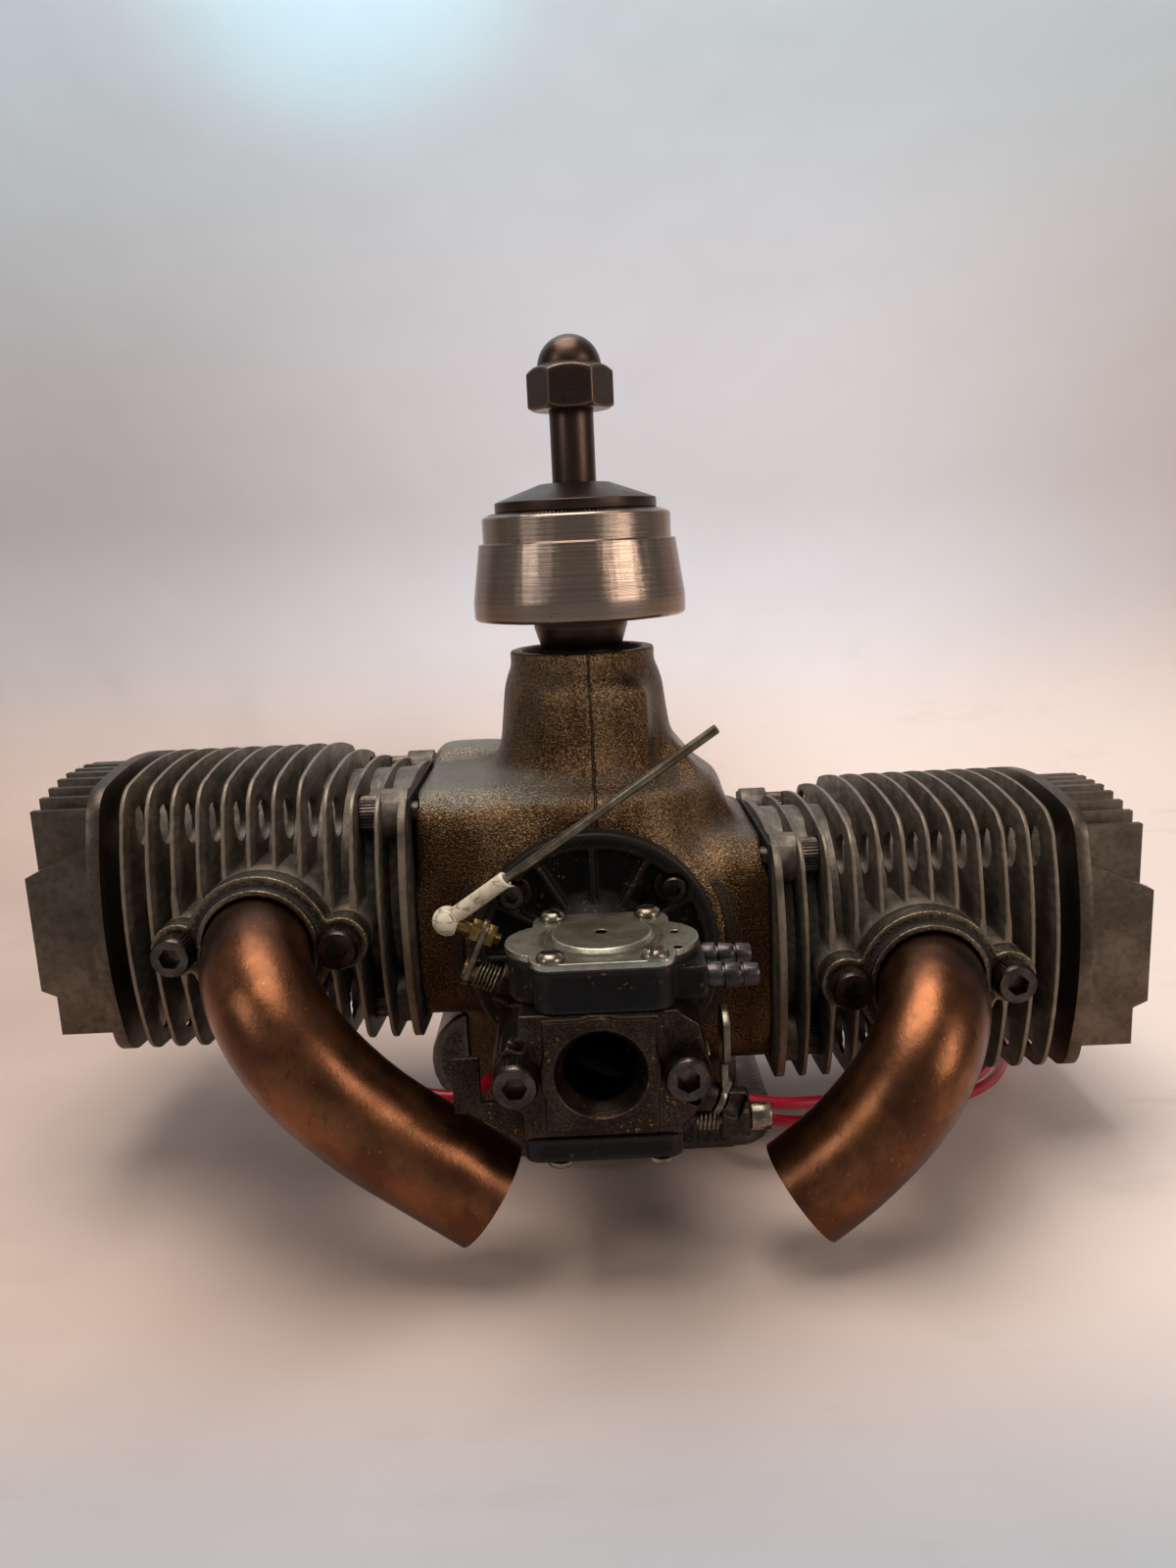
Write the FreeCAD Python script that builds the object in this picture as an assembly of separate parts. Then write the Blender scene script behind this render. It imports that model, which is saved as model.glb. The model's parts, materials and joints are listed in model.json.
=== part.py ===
"""Flat twin two-stroke aircraft engine, about 100 cc, modelled piece by piece.

Millimetres. The crank axis is Z at x = y = 0, the base stands on z = 0, the
carburettor faces -Y and the cylinders lie along -X (left) and +X (right).
"""
import FreeCAD, Part
import math
import os

V = FreeCAD.Vector
X_AXIS = V(1, 0, 0)
Y_AXIS = V(0, 1, 0)
Z_AXIS = V(0, 0, 1)
ORIGIN = V(0, 0, 0)

# ---------------------------------------------------------------- clearances
RUNNING = 0.05            # radial clearance of a shaft or race that turns
SIDE_PLAY = 0.3           # axial clearance beside a turning piece
SCREW_FIT = 0.25          # radial clearance of a screw in a plain hole
SEAT = 0.02               # radial clearance of a pressed or slid-in piece

# ---------------------------------------------------------------- crank drive
BORE = 42.0
STROKE = 36.0
ROD_LENGTH = 62.0
CYLINDER_MID_Z = 55.5
CYLINDER_STAGGER = 14.0
CRANK_PIN_R = 6.0
CRANK_PIN_WIDTH = 9.0
CRANK_WEB = 6.5
CRANK_WEB_R = 25.5
MAIN_SHAFT_R = 7.5
REAR_SHAFT_R = 6.0
ROD_EYE_R = 9.5
ROD_SHANK_WIDTH = 8.0
ROD_SHANK_DEPTH = 7.0
SMALL_END_R = 8.0
WRIST_PIN_R = 5.0
PISTON_TOP_OVER_PIN = 17.0
PISTON_SKIRT_UNDER_PIN = 14.0
PISTON_CLEARANCE = 0.1
PISTON_WALL = 2.6
RING_HEIGHT = 1.2
RING_DEPTH = 1.8

# ---------------------------------------------------------------- bearings
MAIN_BEARING_R = 17.5
MAIN_BEARING_WIDTH = 11.0
FRONT_BEARING_R = 14.0
FRONT_BEARING_WIDTH = 7.0
FRONT_BEARING_Z = 104.0
REAR_BEARING_R = 14.0
REAR_BEARING_WIDTH = 8.0
RACE_WALL = 2.4
SEAL_WIDTH = 3.3

# ---------------------------------------------------------------- crankcase
CHAMBER_R = 29.0
CASE_R = 34.0
CASE_BOTTOM_Z = 9.0
CASE_SHOULDER_Z = 70.0
SNOUT_TOP_Z = 116.5
SNOUT_RIM_R = 16.8
SNOUT_RIM_HEIGHT = 3.5
SNOUT_SHOULDER_R = 18.4
SNOUT_SHOULDER_Z = 109.5
SNOUT_ROOT_R = 20.3
SNOUT_ROOT_Z = 94.5
SNOUT_FLARE_R = 31.0
SNOUT_FLARE_Z = 87.0
SNOUT_RIB_R = 3.2
SNOUT_RIB_REACH = 0.7
SNOUT_RIB_ANGLES = (60, 120, 190, 350)
ARM_END_X = 39.0
ARM_HALF_Y = 28.6
ARM_HALF_Z = 26.5
ARM_CORNER_R = 8.5
SPIGOT_R = 22.9
SPIGOT_START_X = 34.0
SPIGOT_BORE_START_X = 21.0
CYLINDER_BOLT_Y = 23.5
CYLINDER_BOLT_Z = 21.5
REST_BAR = 3.0
GUSSET_TOP_Z = 97.0
GUSSET_FOOT_X = 33.4
GUSSET_FOOT_Z = 79.0
PANEL_LEFT_X = -10.5
PANEL_RIGHT_X = 14.5
PANEL_Y = -19.6
PANEL_FOOT_Z = 79.0
GUSSET_HALF_WIDTH = 14.0
INTAKE_PAD_Y = -31.0
INTAKE_PAD_R = 29.0
INTAKE_Z = 53.5
INTAKE_HOLE_R = 17.0
REAR_COVER_LENGTH = 80.0
REAR_COVER_WIDTH = 48.0
REAR_COVER_CORNER_R = 10.0
BASE_BOLT_SPACING_X = 67.0
BASE_BOLT_SPACING_Y = 36.0
BASE_HOLE_R = 2.6
COVER_BOLT_SEAT_Z = 4.5
COVER_BOLT_LENGTH = 14.0
COVER_BOLT_STEP = 36.0
COVER_BOLT_CIRCLE_R = 31.5
COIL_HOUSING_R = 12.5
COIL_HOUSING_X = -28.0
COIL_HOUSING_Z = 20.0
COIL_HOUSING_FRONT_Y = -13.5
COIL_HOUSING_BACK_Y = 13.5

# ---------------------------------------------------------------- cylinders
GASKET = 0.5
BARREL_R = 27.0
BARREL_END_X = 103.4
BASE_FLANGE = 1.6
FIN_PITCH = 5.375
FIN_THICKNESS = 1.5
FIN_COUNT = 11
FIRST_FIN_X = 45.5
FIN_HALF_DEPTH = 38.0
FIN_HALF_HEIGHT = 33.2
FIN_LOW = 31.0
FIN_BACK_DROP = 2.4
BOLT_LOBE_R = 5.5
FIN_TOP_LOSS = (4.7, 3.7, 2.0)     # how much shorter the fins nearest the crankcase are
BASE_TOP_LOSS = 5.7
HEAD_GASKET = 0.6
HEAD_FLANGE = 2.8
HEAD_END_X = 121.8
HEAD_CORE = 5.5
HEAD_CORE_R = 24.0
HEAD_FIN_PITCH = 5.0
HEAD_FIN_THICKNESS = 2.0
HEAD_FIN_HALF_HEIGHTS = (30.5, 30.5, 30.0, 29.0, 27.8, 26.0)
HEAD_SIDE_Y = 31.0
HEAD_SIDE_THICKNESS = 3.2
HEAD_SIDE_TIP = 12.8
HEAD_SIDE_ROOT = 20.2
CHAMBER_DEPTH = 6.0
CHAMBER_HALF = 20.0
HEAD_BOLT_OFFSET = 17.6
HEAD_BOLT_R = 2.0
PLUG_THREAD_R = 5.0
PLUG_BOSS_R = 8.2
PLUG_RECESS_R = 9.2
PLUG_SEAT_Y = 28.0
PLUG_HEX_AF = 14.0
PLUG_HEX_LENGTH = 7.0
PLUG_X = 113.2
PLUG_THREAD = 12.5
CAP_R = 7.0
CAP_LENGTH = 22.0
CAP_ARM_R = 4.0
CAP_ARM_LENGTH = 15.0
CAP_WALL = 2.0

# ---------------------------------------------------------------- socket screws
M5_R = 2.5
M5_HEAD_R = 4.25
M5_HEAD = 5.0
M3_R = 1.5
M3_HEAD_R = 2.75
M3_HEAD = 3.0
SOCKET_SHARE = 0.55        # hexagon depth as a share of a screw head's height

# ---------------------------------------------------------------- exhausts
PORT_X = 69.8
PORT_DROP = 1.0
PORT_SEAT_Y = -38.6
PORT_BOLT_SPACING = 34.0
PORT_EAR_R = 5.6
FLANGE_THICKNESS = 4.6
FLANGE_R = 15.2
FLANGE_LIP = 1.6
FLANGE_LIP_R = 12.7
EXHAUST_GASKET = 0.8
PIPE_R = 11.0
PIPE_WALL = 1.0
PIPE_FIT = 0.4
PIPE_LEAD_IN = 3.0
PIPE_BEND_R = 24.8
PIPE_FALL = 50.0
PIPE_SECOND_R = 88.0
PIPE_FINAL_FALL = 36.5
PIPE_TAIL_LEFT = 20.0
PIPE_TAIL_RIGHT = 0.6

# ---------------------------------------------------------------- propeller drive
COLLAR_BOTTOM_Z = 114.6
COLLAR_TAPER_Z = 121.6
COLLAR_FOOT_R = 9.3
COLLAR_R = 10.9
HUB_BOTTOM_Z = 123.7
HUB_BAND_Z = 128.0
HUB_STEP_Z = 141.0
HUB_TOP_Z = 147.0
HUB_BAND_R = 24.5
HUB_CONE_R = 22.6
HUB_TOP_R = 21.6
HUB_TOOTH = 0.7
HUB_TOOTH_COUNT = 40
SHAFT_END_Z = 144.0
WASHER_R = 18.5
WASHER_RIM = 2.3
WASHER_TOP_R = 8.0
WASHER_TOP_Z = 153.8
PROP_BOLT_R = 5.0
PROP_BOLT_FOOT_Z = 128.0
NUT_BOTTOM_Z = 169.7
NUT_HEX = 9.3
NUT_AF = 17.0
NUT_TOP_Z = 186.0
NUT_DOME_R = 7.2
NUT_BORE_DEPTH = 10.5

# ---------------------------------------------------------------- intake
MANIFOLD_R = 27.0
MANIFOLD_RING = 3.6
MANIFOLD_THICKNESS = 4.5
MANIFOLD_FLOOR = 2.0
MANIFOLD_RIBS = 12
MANIFOLD_RIB = 1.3
MANIFOLD_SCREW_X = 17.2
MANIFOLD_SCREW_Z = 14.3
FUNNEL_R = 15.0
FUNNEL_TIP_R = 10.5
FUNNEL_WALL = 2.5
CARB_FLANGE_Y = -45.0
CARB_FLANGE = 4.0
REED_PLATE = 2.2
REED_PETAL = 0.3
REED_PORT_WIDTH = 9.0
REED_PORT_HEIGHT = 8.0
REED_PORT_OFFSET = 6.0

# ---------------------------------------------------------------- carburettor
CARB_Z = 47.2
CARB_REAR_Y = -49.5
CARB_FRONT_Y = -81.0
CARB_HALF_WIDTH = 14.5
CARB_BOTTOM_Z = 34.5
CARB_TOP_Z = 58.6
CARB_BOLT_X = 15.4
CARB_EAR_R = 4.6
CARB_FACE_R = 11.0
CARB_FACE_X = 10.2
CARB_SHOULDER = 10.0
FACE_SLOT = 4.4
FACE_SLOT_DEPTH = 3.0
CARB_BOLT_SINK = 1.2
THROAT_R = 6.6
BELL_R = 8.6
BELL_DEPTH = 4.0
VENTURI_R = 5.4
VENTURI_Y = -63.0
VENTURI_LENGTH = 4.0
BLOCK_TOP_Z = 67.0
COVER_PLATE = 1.4
COVER_DISC_R = 10.3
COVER_DISC = 1.0
COVER_CENTRE_X = 1.2
COVER_CENTRE_Y = -66.5
COVER_HALF_X = 13.2
COVER_HALF_Y = 14.0
COVER_SCREW_X = 9.3
COVER_SCREW_Y = 11.6
COVER_LOBE_R = 9.0
COVER_LOBE_X = 9.2
COVER_SCREW_R = 1.4
COVER_SCREW_HEAD_R = 2.7
COVER_SCREW_HEAD = 1.6
PUMP_COVER = 4.4
PUMP_HALF_Y = 13.5
NIPPLE_R = 2.3
NIPPLE_BORE_R = 1.2
NIPPLE_LENGTH = 9.5
NIPPLE_Z = 61.8
NIPPLE_BLOCK_X = 20.3
NIPPLE_SPACING = 10.5
NIPPLE_FRONT_Y = -72.0
NEEDLE_R = 1.4
NEEDLE_HEAD_R = 2.2
NEEDLE_LENGTH = 11.0
BRACKET_THICKNESS = 1.6
BRACKET_Y = -70.5

# ---------------------------------------------------------------- throttle and choke
SHAFT_TILT = 24.0
THROTTLE_Y = -54.5
THROTTLE_SHAFT_R = 2.0
THROTTLE_BOSS_R = 4.0
THROTTLE_BOSS_X = 21.6
THROTTLE_LEVER_X = -27.8
LEVER_THICKNESS = 1.2
LEVER_WIDTH = 5.0
LEVER_TOP = 11.0
LEVER_FOOT = 3.2
BUTTERFLY = 0.8
BALL_ARM = 8.0
BALL_OUT = 7.5
BALL_R = 2.2
STUD_R = 1.3
SOCKET_MOUTH = 0.75
SOCKET_R = 3.0
BARREL_ROD_R = 1.65
BARREL_LENGTH = 15.5
PUSHROD_R = 0.9
PUSHROD_END = V(23.6, -68.0, 107.2)
STOP_LEVER_X = 21.6
STOP_LEVER_LENGTH = 13.5
STOP_LEVER_TURN = 58.0
CHOKE_Y = -72.5
CHOKE_SHAFT_R = 1.5
CHOKE_BOSS_R = 2.9
CHOKE_LEVER_X = 23.4
CHOKE_LEVER_R = 5.6
CHOKE_FOOT_R = 3.0
CHOKE_NECK = 4.0
CHOKE_PADDLE_X = 22.4
CHOKE_PADDLE_Z = 51.3
CHOKE_PADDLE_SHIFT = 2.0
CHOKE_NECK_DROP = 10.8
CHOKE_FLAT = 4.5
IDLE_Y = -69.0
IDLE_Z = 31.7
IDLE_BLOCK_X = 22.5
IDLE_BLOCK = 5.5
IDLE_ARM = 2.2
IDLE_HEAD = 3.8
IDLE_HEAD_R = 2.6
IDLE_R = 1.4
IDLE_TIP_X = 17.5
SPRING_WIRE_R = 0.4

# ---------------------------------------------------------------- ignition leads
LEAD_R = 1.4

# ---------------------------------------------------------------- worked-out places
LEFT = -1
RIGHT = 1
SIDES = (LEFT, RIGHT)
CRANK_R = STROKE / 2
LEFT_Z = CYLINDER_MID_Z + CYLINDER_STAGGER / 2
RIGHT_Z = CYLINDER_MID_Z - CYLINDER_STAGGER / 2
FRONT_WEB_TOP_Z = LEFT_Z + CRANK_PIN_WIDTH / 2 + CRANK_WEB
REAR_WEB_BOTTOM_Z = RIGHT_Z - CRANK_PIN_WIDTH / 2 - CRANK_WEB
MAIN_BEARING_Z = FRONT_WEB_TOP_Z + 1.0
REAR_BEARING_Z = REAR_WEB_BOTTOM_Z - 1.3 - REAR_BEARING_WIDTH
COVER_BOSS_TOP_Z = REAR_WEB_BOTTOM_Z - 1.0
SEAL_Z = FRONT_BEARING_Z + FRONT_BEARING_WIDTH
WRIST_X = CRANK_R + ROD_LENGTH
PISTON_TOP_X = WRIST_X + PISTON_TOP_OVER_PIN
FLANGE_X = ARM_END_X + GASKET
FIN_XS = [FIRST_FIN_X + index * FIN_PITCH for index in range(FIN_COUNT)]
BOLT_SEAT_X = FIRST_FIN_X + FIN_THICKNESS / 2
HEAD_X = BARREL_END_X + HEAD_GASKET
HEAD_FACE_X = HEAD_X + HEAD_FLANGE
MANIFOLD_BACK_Y = INTAKE_PAD_Y - GASKET
MANIFOLD_FRONT_Y = MANIFOLD_BACK_Y - MANIFOLD_THICKNESS
CARB_LENGTH = CARB_REAR_Y - CARB_FRONT_Y


# ================================================================ plain shapes
def box(x0, x1, y0, y1, z0, z1):
    """A box between two corners."""
    low = V(min(x0, x1), min(y0, y1), min(z0, z1))
    return Part.makeBox(abs(x1 - x0), abs(y1 - y0), abs(z1 - z0), low)


def rod(radius, start, end):
    """A round bar between two points."""
    return Part.makeCylinder(radius, (end - start).Length, start, end - start)


def ring(outer, inner, start, end):
    """A tube between two points."""
    return rod(outer, start, end).cut(rod(inner, start, end))


def up(x, y, z):
    """A point, named for the bars that run along Z."""
    return V(x, y, z)


def turned(profile):
    """A solid of revolution about Z from a list of (radius, height) corners."""
    points = [V(r, 0, z) for r, z in profile]
    points.append(points[0])
    face = Part.Face(Part.makePolygon(points))
    return face.revolve(ORIGIN, Z_AXIS, 360)


def polygon_slab(points, thickness):
    """A flat slab: a closed polygon pushed along a vector."""
    closed = list(points)
    closed.append(points[0])
    return Part.Face(Part.makePolygon(closed)).extrude(thickness)


def joined(shapes):
    """One clean solid from overlapping ones."""
    first = shapes[0]
    return first.multiFuse(shapes[1:]).removeSplitter()


def without(shape, cutters):
    """A shape with every cutter taken away."""
    return shape.cut(Part.makeCompound(cutters))


def hexagon(across_flats, start, direction):
    """A six-sided bar from start along a vector."""
    radius = across_flats / 2 / math.cos(math.radians(30))
    length = direction.Length
    corners = []
    for index in range(6):
        angle = math.radians(60 * index)
        corners.append(V(radius * math.cos(angle), radius * math.sin(angle), 0))
    slab = polygon_slab(corners, V(0, 0, length))
    return aimed(slab, start, direction)


def aimed(shape, start, direction):
    """A shape built up from the origin along +Z, turned and moved into place."""
    turn = FreeCAD.Rotation(Z_AXIS, direction)
    result = shape.copy()
    result.Placement = FreeCAD.Placement(start, turn).multiply(result.Placement)
    return result


def socket_screw(radius, head_r, head, length, seat, outward):
    """A socket head cap screw whose head seats at a point and faces outward."""
    shank = Part.makeCylinder(radius, length, V(0, 0, -length))
    cap = Part.makeCylinder(head_r, head)
    cap = cap.makeChamfer(head * 0.1, [edge for edge in cap.Edges if edge.CenterOfMass.z > head * 0.99])
    socket = hexagon(head_r, V(0, 0, head * (1 - SOCKET_SHARE)), V(0, 0, head))
    return aimed(joined([shank, cap]).cut(socket), seat, outward)


def slotted_screw(radius, head_r, head, length, seat, outward):
    """A slotted cheese-head screw whose head seats at a point and faces outward."""
    shank = Part.makeCylinder(radius, length, V(0, 0, -length))
    cap = Part.makeCylinder(head_r, head)
    slot = box(-head_r, head_r, -head_r * 0.16, head_r * 0.16, head * 0.5, head * 2)
    return aimed(joined([shank, cap]).cut(slot), seat, outward)


def stadium(half_x, half_z, y0, y1, centre_x, centre_z):
    """A slab across Y with round ends, longer along X."""
    ends = [rod(half_z, V(centre_x + s * (half_x - half_z), y0, centre_z),
                V(centre_x + s * (half_x - half_z), y1, centre_z)) for s in SIDES]
    middle = box(centre_x - half_x + half_z, centre_x + half_x - half_z,
                 y0, y1, centre_z - half_z, centre_z + half_z)
    return joined([middle] + ends)


def rounded_box(length, width, height, corner, base):
    """A box with round vertical corners, centred over a base point."""
    block = box(-length / 2, length / 2, -width / 2, width / 2, 0, height)
    upright = [e for e in block.Edges if abs(e.tangentAt(e.FirstParameter).z) > 0.9]
    block = block.makeFillet(corner, upright)
    block.translate(base)
    return block


# ================================================================ sides
def axis_z(side):
    """Height of a cylinder's axis."""
    return LEFT_Z if side == LEFT else RIGHT_Z


def on_side(shape, side):
    """A shape built along +X about z = 0, moved to its cylinder."""
    placed = shape.copy()
    if side == LEFT:
        placed = placed.mirror(ORIGIN, X_AXIS)
    placed.translate(V(0, 0, axis_z(side)))
    return placed


def both_sides(shape):
    """The same piece on the left and on the right cylinder."""
    return [on_side(shape, side) for side in SIDES]


def corner_points(y, z):
    """The four (y, z) points of a rectangle about a cylinder's axis."""
    return [(sy * y, sz * z) for sy in SIDES for sz in SIDES]


# ================================================================ crankcase
def arm(side):
    """The arm that carries one cylinder: a block with well rounded corners."""
    flat_y = ARM_HALF_Y - ARM_CORNER_R
    flat_z = ARM_HALF_Z - ARM_CORNER_R
    pieces = [box(0, ARM_END_X, -ARM_HALF_Y, ARM_HALF_Y, -flat_z, flat_z),
              box(0, ARM_END_X, -flat_y, flat_y, -ARM_HALF_Z, ARM_HALF_Z)]
    pieces += [rod(ARM_CORNER_R, V(0, y, z), V(ARM_END_X, y, z)) for y, z in corner_points(flat_y, flat_z)]
    return on_side(joined(pieces), side)


def arm_cutters(side):
    """Spigot bore and four tapped bolt holes of one arm."""
    bore = rod(SPIGOT_R + SEAT, V(SPIGOT_BORE_START_X, 0, 0), V(ARM_END_X + 1, 0, 0))
    holes = [rod(M5_R, V(ARM_END_X - 13, y, z), V(ARM_END_X + 1, y, z))
             for y, z in corner_points(CYLINDER_BOLT_Y, CYLINDER_BOLT_Z)]
    return [on_side(piece, side) for piece in [bore] + holes]


def snout_ribs():
    """The upright lobes that are cast down the sides and back of the snout."""
    ribs = []
    for angle in SNOUT_RIB_ANGLES:
        turn = math.radians(angle)
        foot_r = SNOUT_ROOT_R - SNOUT_RIB_R + SNOUT_RIB_REACH
        top_r = SNOUT_SHOULDER_R - SNOUT_RIB_R + SNOUT_RIB_REACH
        foot = V(foot_r * math.cos(turn), foot_r * math.sin(turn), SNOUT_FLARE_Z)
        top = V(top_r * math.cos(turn), top_r * math.sin(turn), SNOUT_SHOULDER_Z)
        ribs.append(rod(SNOUT_RIB_R, foot, top))
    return ribs


def gusset():
    """The web that runs from the snout down to the lower right arm."""
    face = [V(0, -GUSSET_HALF_WIDTH, GUSSET_TOP_Z), V(SNOUT_ROOT_R - 1, -GUSSET_HALF_WIDTH, GUSSET_TOP_Z),
            V(GUSSET_FOOT_X, -GUSSET_HALF_WIDTH, GUSSET_FOOT_Z),
            V(GUSSET_FOOT_X, -GUSSET_HALF_WIDTH, RIGHT_Z), V(0, -GUSSET_HALF_WIDTH, RIGHT_Z)]
    return polygon_slab(face, V(0, 2 * GUSSET_HALF_WIDTH, 0))


def crankcase():
    """One casting: chamber, two staggered arms, snout, gusset and intake pad."""
    flare = SNOUT_FLARE_R - SNOUT_ROOT_R
    rise = SNOUT_ROOT_Z - SNOUT_FLARE_Z
    barrel = turned([(0, CASE_BOTTOM_Z), (CASE_R, CASE_BOTTOM_Z), (CASE_R, CASE_SHOULDER_Z),
                     (SNOUT_FLARE_R, SNOUT_FLARE_Z), (SNOUT_ROOT_R + flare * 0.5, SNOUT_FLARE_Z + rise * 0.12),
                     (SNOUT_ROOT_R + flare * 0.2, SNOUT_FLARE_Z + rise * 0.42), (SNOUT_ROOT_R, SNOUT_ROOT_Z),
                     (SNOUT_SHOULDER_R, SNOUT_SHOULDER_Z), (SNOUT_RIM_R, SNOUT_TOP_Z - SNOUT_RIM_HEIGHT),
                     (SNOUT_RIM_R, SNOUT_TOP_Z), (0, SNOUT_TOP_Z)])
    panel = box(PANEL_LEFT_X, PANEL_RIGHT_X, PANEL_Y, 0, PANEL_FOOT_Z, SNOUT_SHOULDER_Z)
    pad = rod(INTAKE_PAD_R, V(0, INTAKE_PAD_Y, INTAKE_Z), V(0, 0, INTAKE_Z))
    rest_bar = box(-ARM_END_X + 1, -SNOUT_ROOT_R + 1, 11, 27, LEFT_Z + 20, LEFT_Z + ARM_HALF_Z + REST_BAR)
    solid = joined([barrel, pad, panel, gusset(), rest_bar] + snout_ribs() + [arm(side) for side in SIDES])
    cutters = [
        rod(CHAMBER_R, up(0, 0, CASE_BOTTOM_Z - 1), up(0, 0, MAIN_BEARING_Z)),
        rod(MAIN_BEARING_R + SEAT, up(0, 0, MAIN_BEARING_Z - 1), up(0, 0, MAIN_BEARING_Z + MAIN_BEARING_WIDTH)),
        rod(FRONT_BEARING_R - 2, up(0, 0, MAIN_BEARING_Z), up(0, 0, SNOUT_TOP_Z)),
        rod(FRONT_BEARING_R + SEAT, up(0, 0, FRONT_BEARING_Z), up(0, 0, SNOUT_TOP_Z + 1)),
        rod(INTAKE_HOLE_R + SEAT, V(0, INTAKE_PAD_Y - 5, INTAKE_Z), V(0, INTAKE_PAD_Y + 8, INTAKE_Z)),
        rod(INTAKE_PAD_R, V(0, -CASE_R - 5, INTAKE_Z), V(0, INTAKE_PAD_Y, INTAKE_Z)),
    ]
    for x, z in manifold_screw_points():
        cutters.append(rod(M3_R, V(x, INTAKE_PAD_Y - 1, z), V(x, INTAKE_PAD_Y + 5, z)))
    for x, y in cover_bolt_points():
        cutters.append(rod(M3_R, up(x, y, 0), up(x, y, COVER_BOLT_SEAT_Z + COVER_BOLT_LENGTH + 1)))
    for side in SIDES:
        cutters += arm_cutters(side)
    return without(solid, cutters)


def cover_bolt_points():
    """Six screws that hold the rear cover to the case."""
    angles = [math.radians(base + step) for base in (0, 180) for step in (-COVER_BOLT_STEP, 0, COVER_BOLT_STEP)]
    return [(COVER_BOLT_CIRCLE_R * math.cos(a), COVER_BOLT_CIRCLE_R * math.sin(a)) for a in angles]


def base_bolt_points():
    """Four mounting holes through the base plate."""
    return [(sx * BASE_BOLT_SPACING_X / 2, sy * BASE_BOLT_SPACING_Y / 2) for sx in SIDES for sy in SIDES]


def rear_cover():
    """Base plate cast with the rear bearing boss and the coil housing."""
    plate = rounded_box(REAR_COVER_LENGTH, REAR_COVER_WIDTH, CASE_BOTTOM_Z, REAR_COVER_CORNER_R, ORIGIN)
    boss = rod(CHAMBER_R - SEAT, up(0, 0, CASE_BOTTOM_Z), up(0, 0, COVER_BOSS_TOP_Z))
    solid = joined([plate, boss, coil_housing()])
    cutters = [rod(REAR_BEARING_R + SEAT, up(0, 0, REAR_BEARING_Z), up(0, 0, COVER_BOSS_TOP_Z + 1)),
               rod(REAR_SHAFT_R + 2, up(0, 0, REAR_BEARING_Z - 4), up(0, 0, COVER_BOSS_TOP_Z))]
    for x, y in base_bolt_points():
        cutters.append(rod(BASE_HOLE_R, up(x, y, -1), up(x, y, CASE_BOTTOM_Z + 1)))
    for x, y in cover_bolt_points():
        cutters.append(rod(M3_R + SCREW_FIT, up(x, y, -1), up(x, y, CASE_BOTTOM_Z)))
        cutters.append(rod(M3_HEAD_R + SCREW_FIT, up(x, y, -1), up(x, y, COVER_BOLT_SEAT_Z)))
    return without(solid, cutters)


def coil_housing():
    """Round ignition coil housing that stands beside the case on the base plate."""
    body = rod(COIL_HOUSING_R, V(COIL_HOUSING_X, COIL_HOUSING_BACK_Y, COIL_HOUSING_Z),
               V(COIL_HOUSING_X, COIL_HOUSING_FRONT_Y, COIL_HOUSING_Z))
    case = rod(CASE_R + SEAT, up(0, 0, CASE_BOTTOM_Z), up(0, 0, SNOUT_TOP_Z))
    under = box(COIL_HOUSING_X - COIL_HOUSING_R, 0, COIL_HOUSING_FRONT_Y, COIL_HOUSING_BACK_Y,
                -COIL_HOUSING_R, CASE_BOTTOM_Z - 1)
    return without(body, [case, under, arm(LEFT)])


def rear_cover_bolts():
    """Six socket screws up through the rear cover."""
    return [socket_screw(M3_R, M3_HEAD_R, M3_HEAD, COVER_BOLT_LENGTH, up(x, y, COVER_BOLT_SEAT_Z), V(0, 0, -1))
            for x, y in cover_bolt_points()]


# ================================================================ bearings
def bearing_stack():
    """Bore radius, outer radius, width and lower face of each ball bearing."""
    return [(MAIN_SHAFT_R, MAIN_BEARING_R, MAIN_BEARING_WIDTH, MAIN_BEARING_Z),
            (MAIN_SHAFT_R, FRONT_BEARING_R, FRONT_BEARING_WIDTH, FRONT_BEARING_Z),
            (REAR_SHAFT_R, REAR_BEARING_R, REAR_BEARING_WIDTH, REAR_BEARING_Z)]


def inner_race_wall(inner, outer):
    """Inner race wall that leaves the balls centred between the races."""
    return min(RACE_WALL, (outer - inner) / 3)


def bearings():
    """Outer races and balls, which stay with the case."""
    solids = []
    for inner, outer, width, z in bearing_stack():
        wall = inner_race_wall(inner, outer)
        solids.append(ring(outer, outer - wall, up(0, 0, z), up(0, 0, z + width)))
        ball_r = (outer - inner - 2 * wall) / 2 - RUNNING
        centre_r = (outer + inner) / 2
        count = int(math.pi * centre_r / (ball_r * 1.35))
        for index in range(count):
            angle = 2 * math.pi * index / count
            centre = V(centre_r * math.cos(angle), centre_r * math.sin(angle), z + width / 2)
            solids.append(Part.makeSphere(ball_r, centre))
    return solids


def inner_races():
    """Inner races, which turn with the crankshaft."""
    return [ring(inner + inner_race_wall(inner, outer), inner, up(0, 0, z), up(0, 0, z + width))
            for inner, outer, width, z in bearing_stack()]


def front_seal():
    """Lip seal above the front bearing."""
    return ring(FRONT_BEARING_R, MAIN_SHAFT_R + RUNNING, up(0, 0, SEAL_Z), up(0, 0, SEAL_Z + SEAL_WIDTH))


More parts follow.
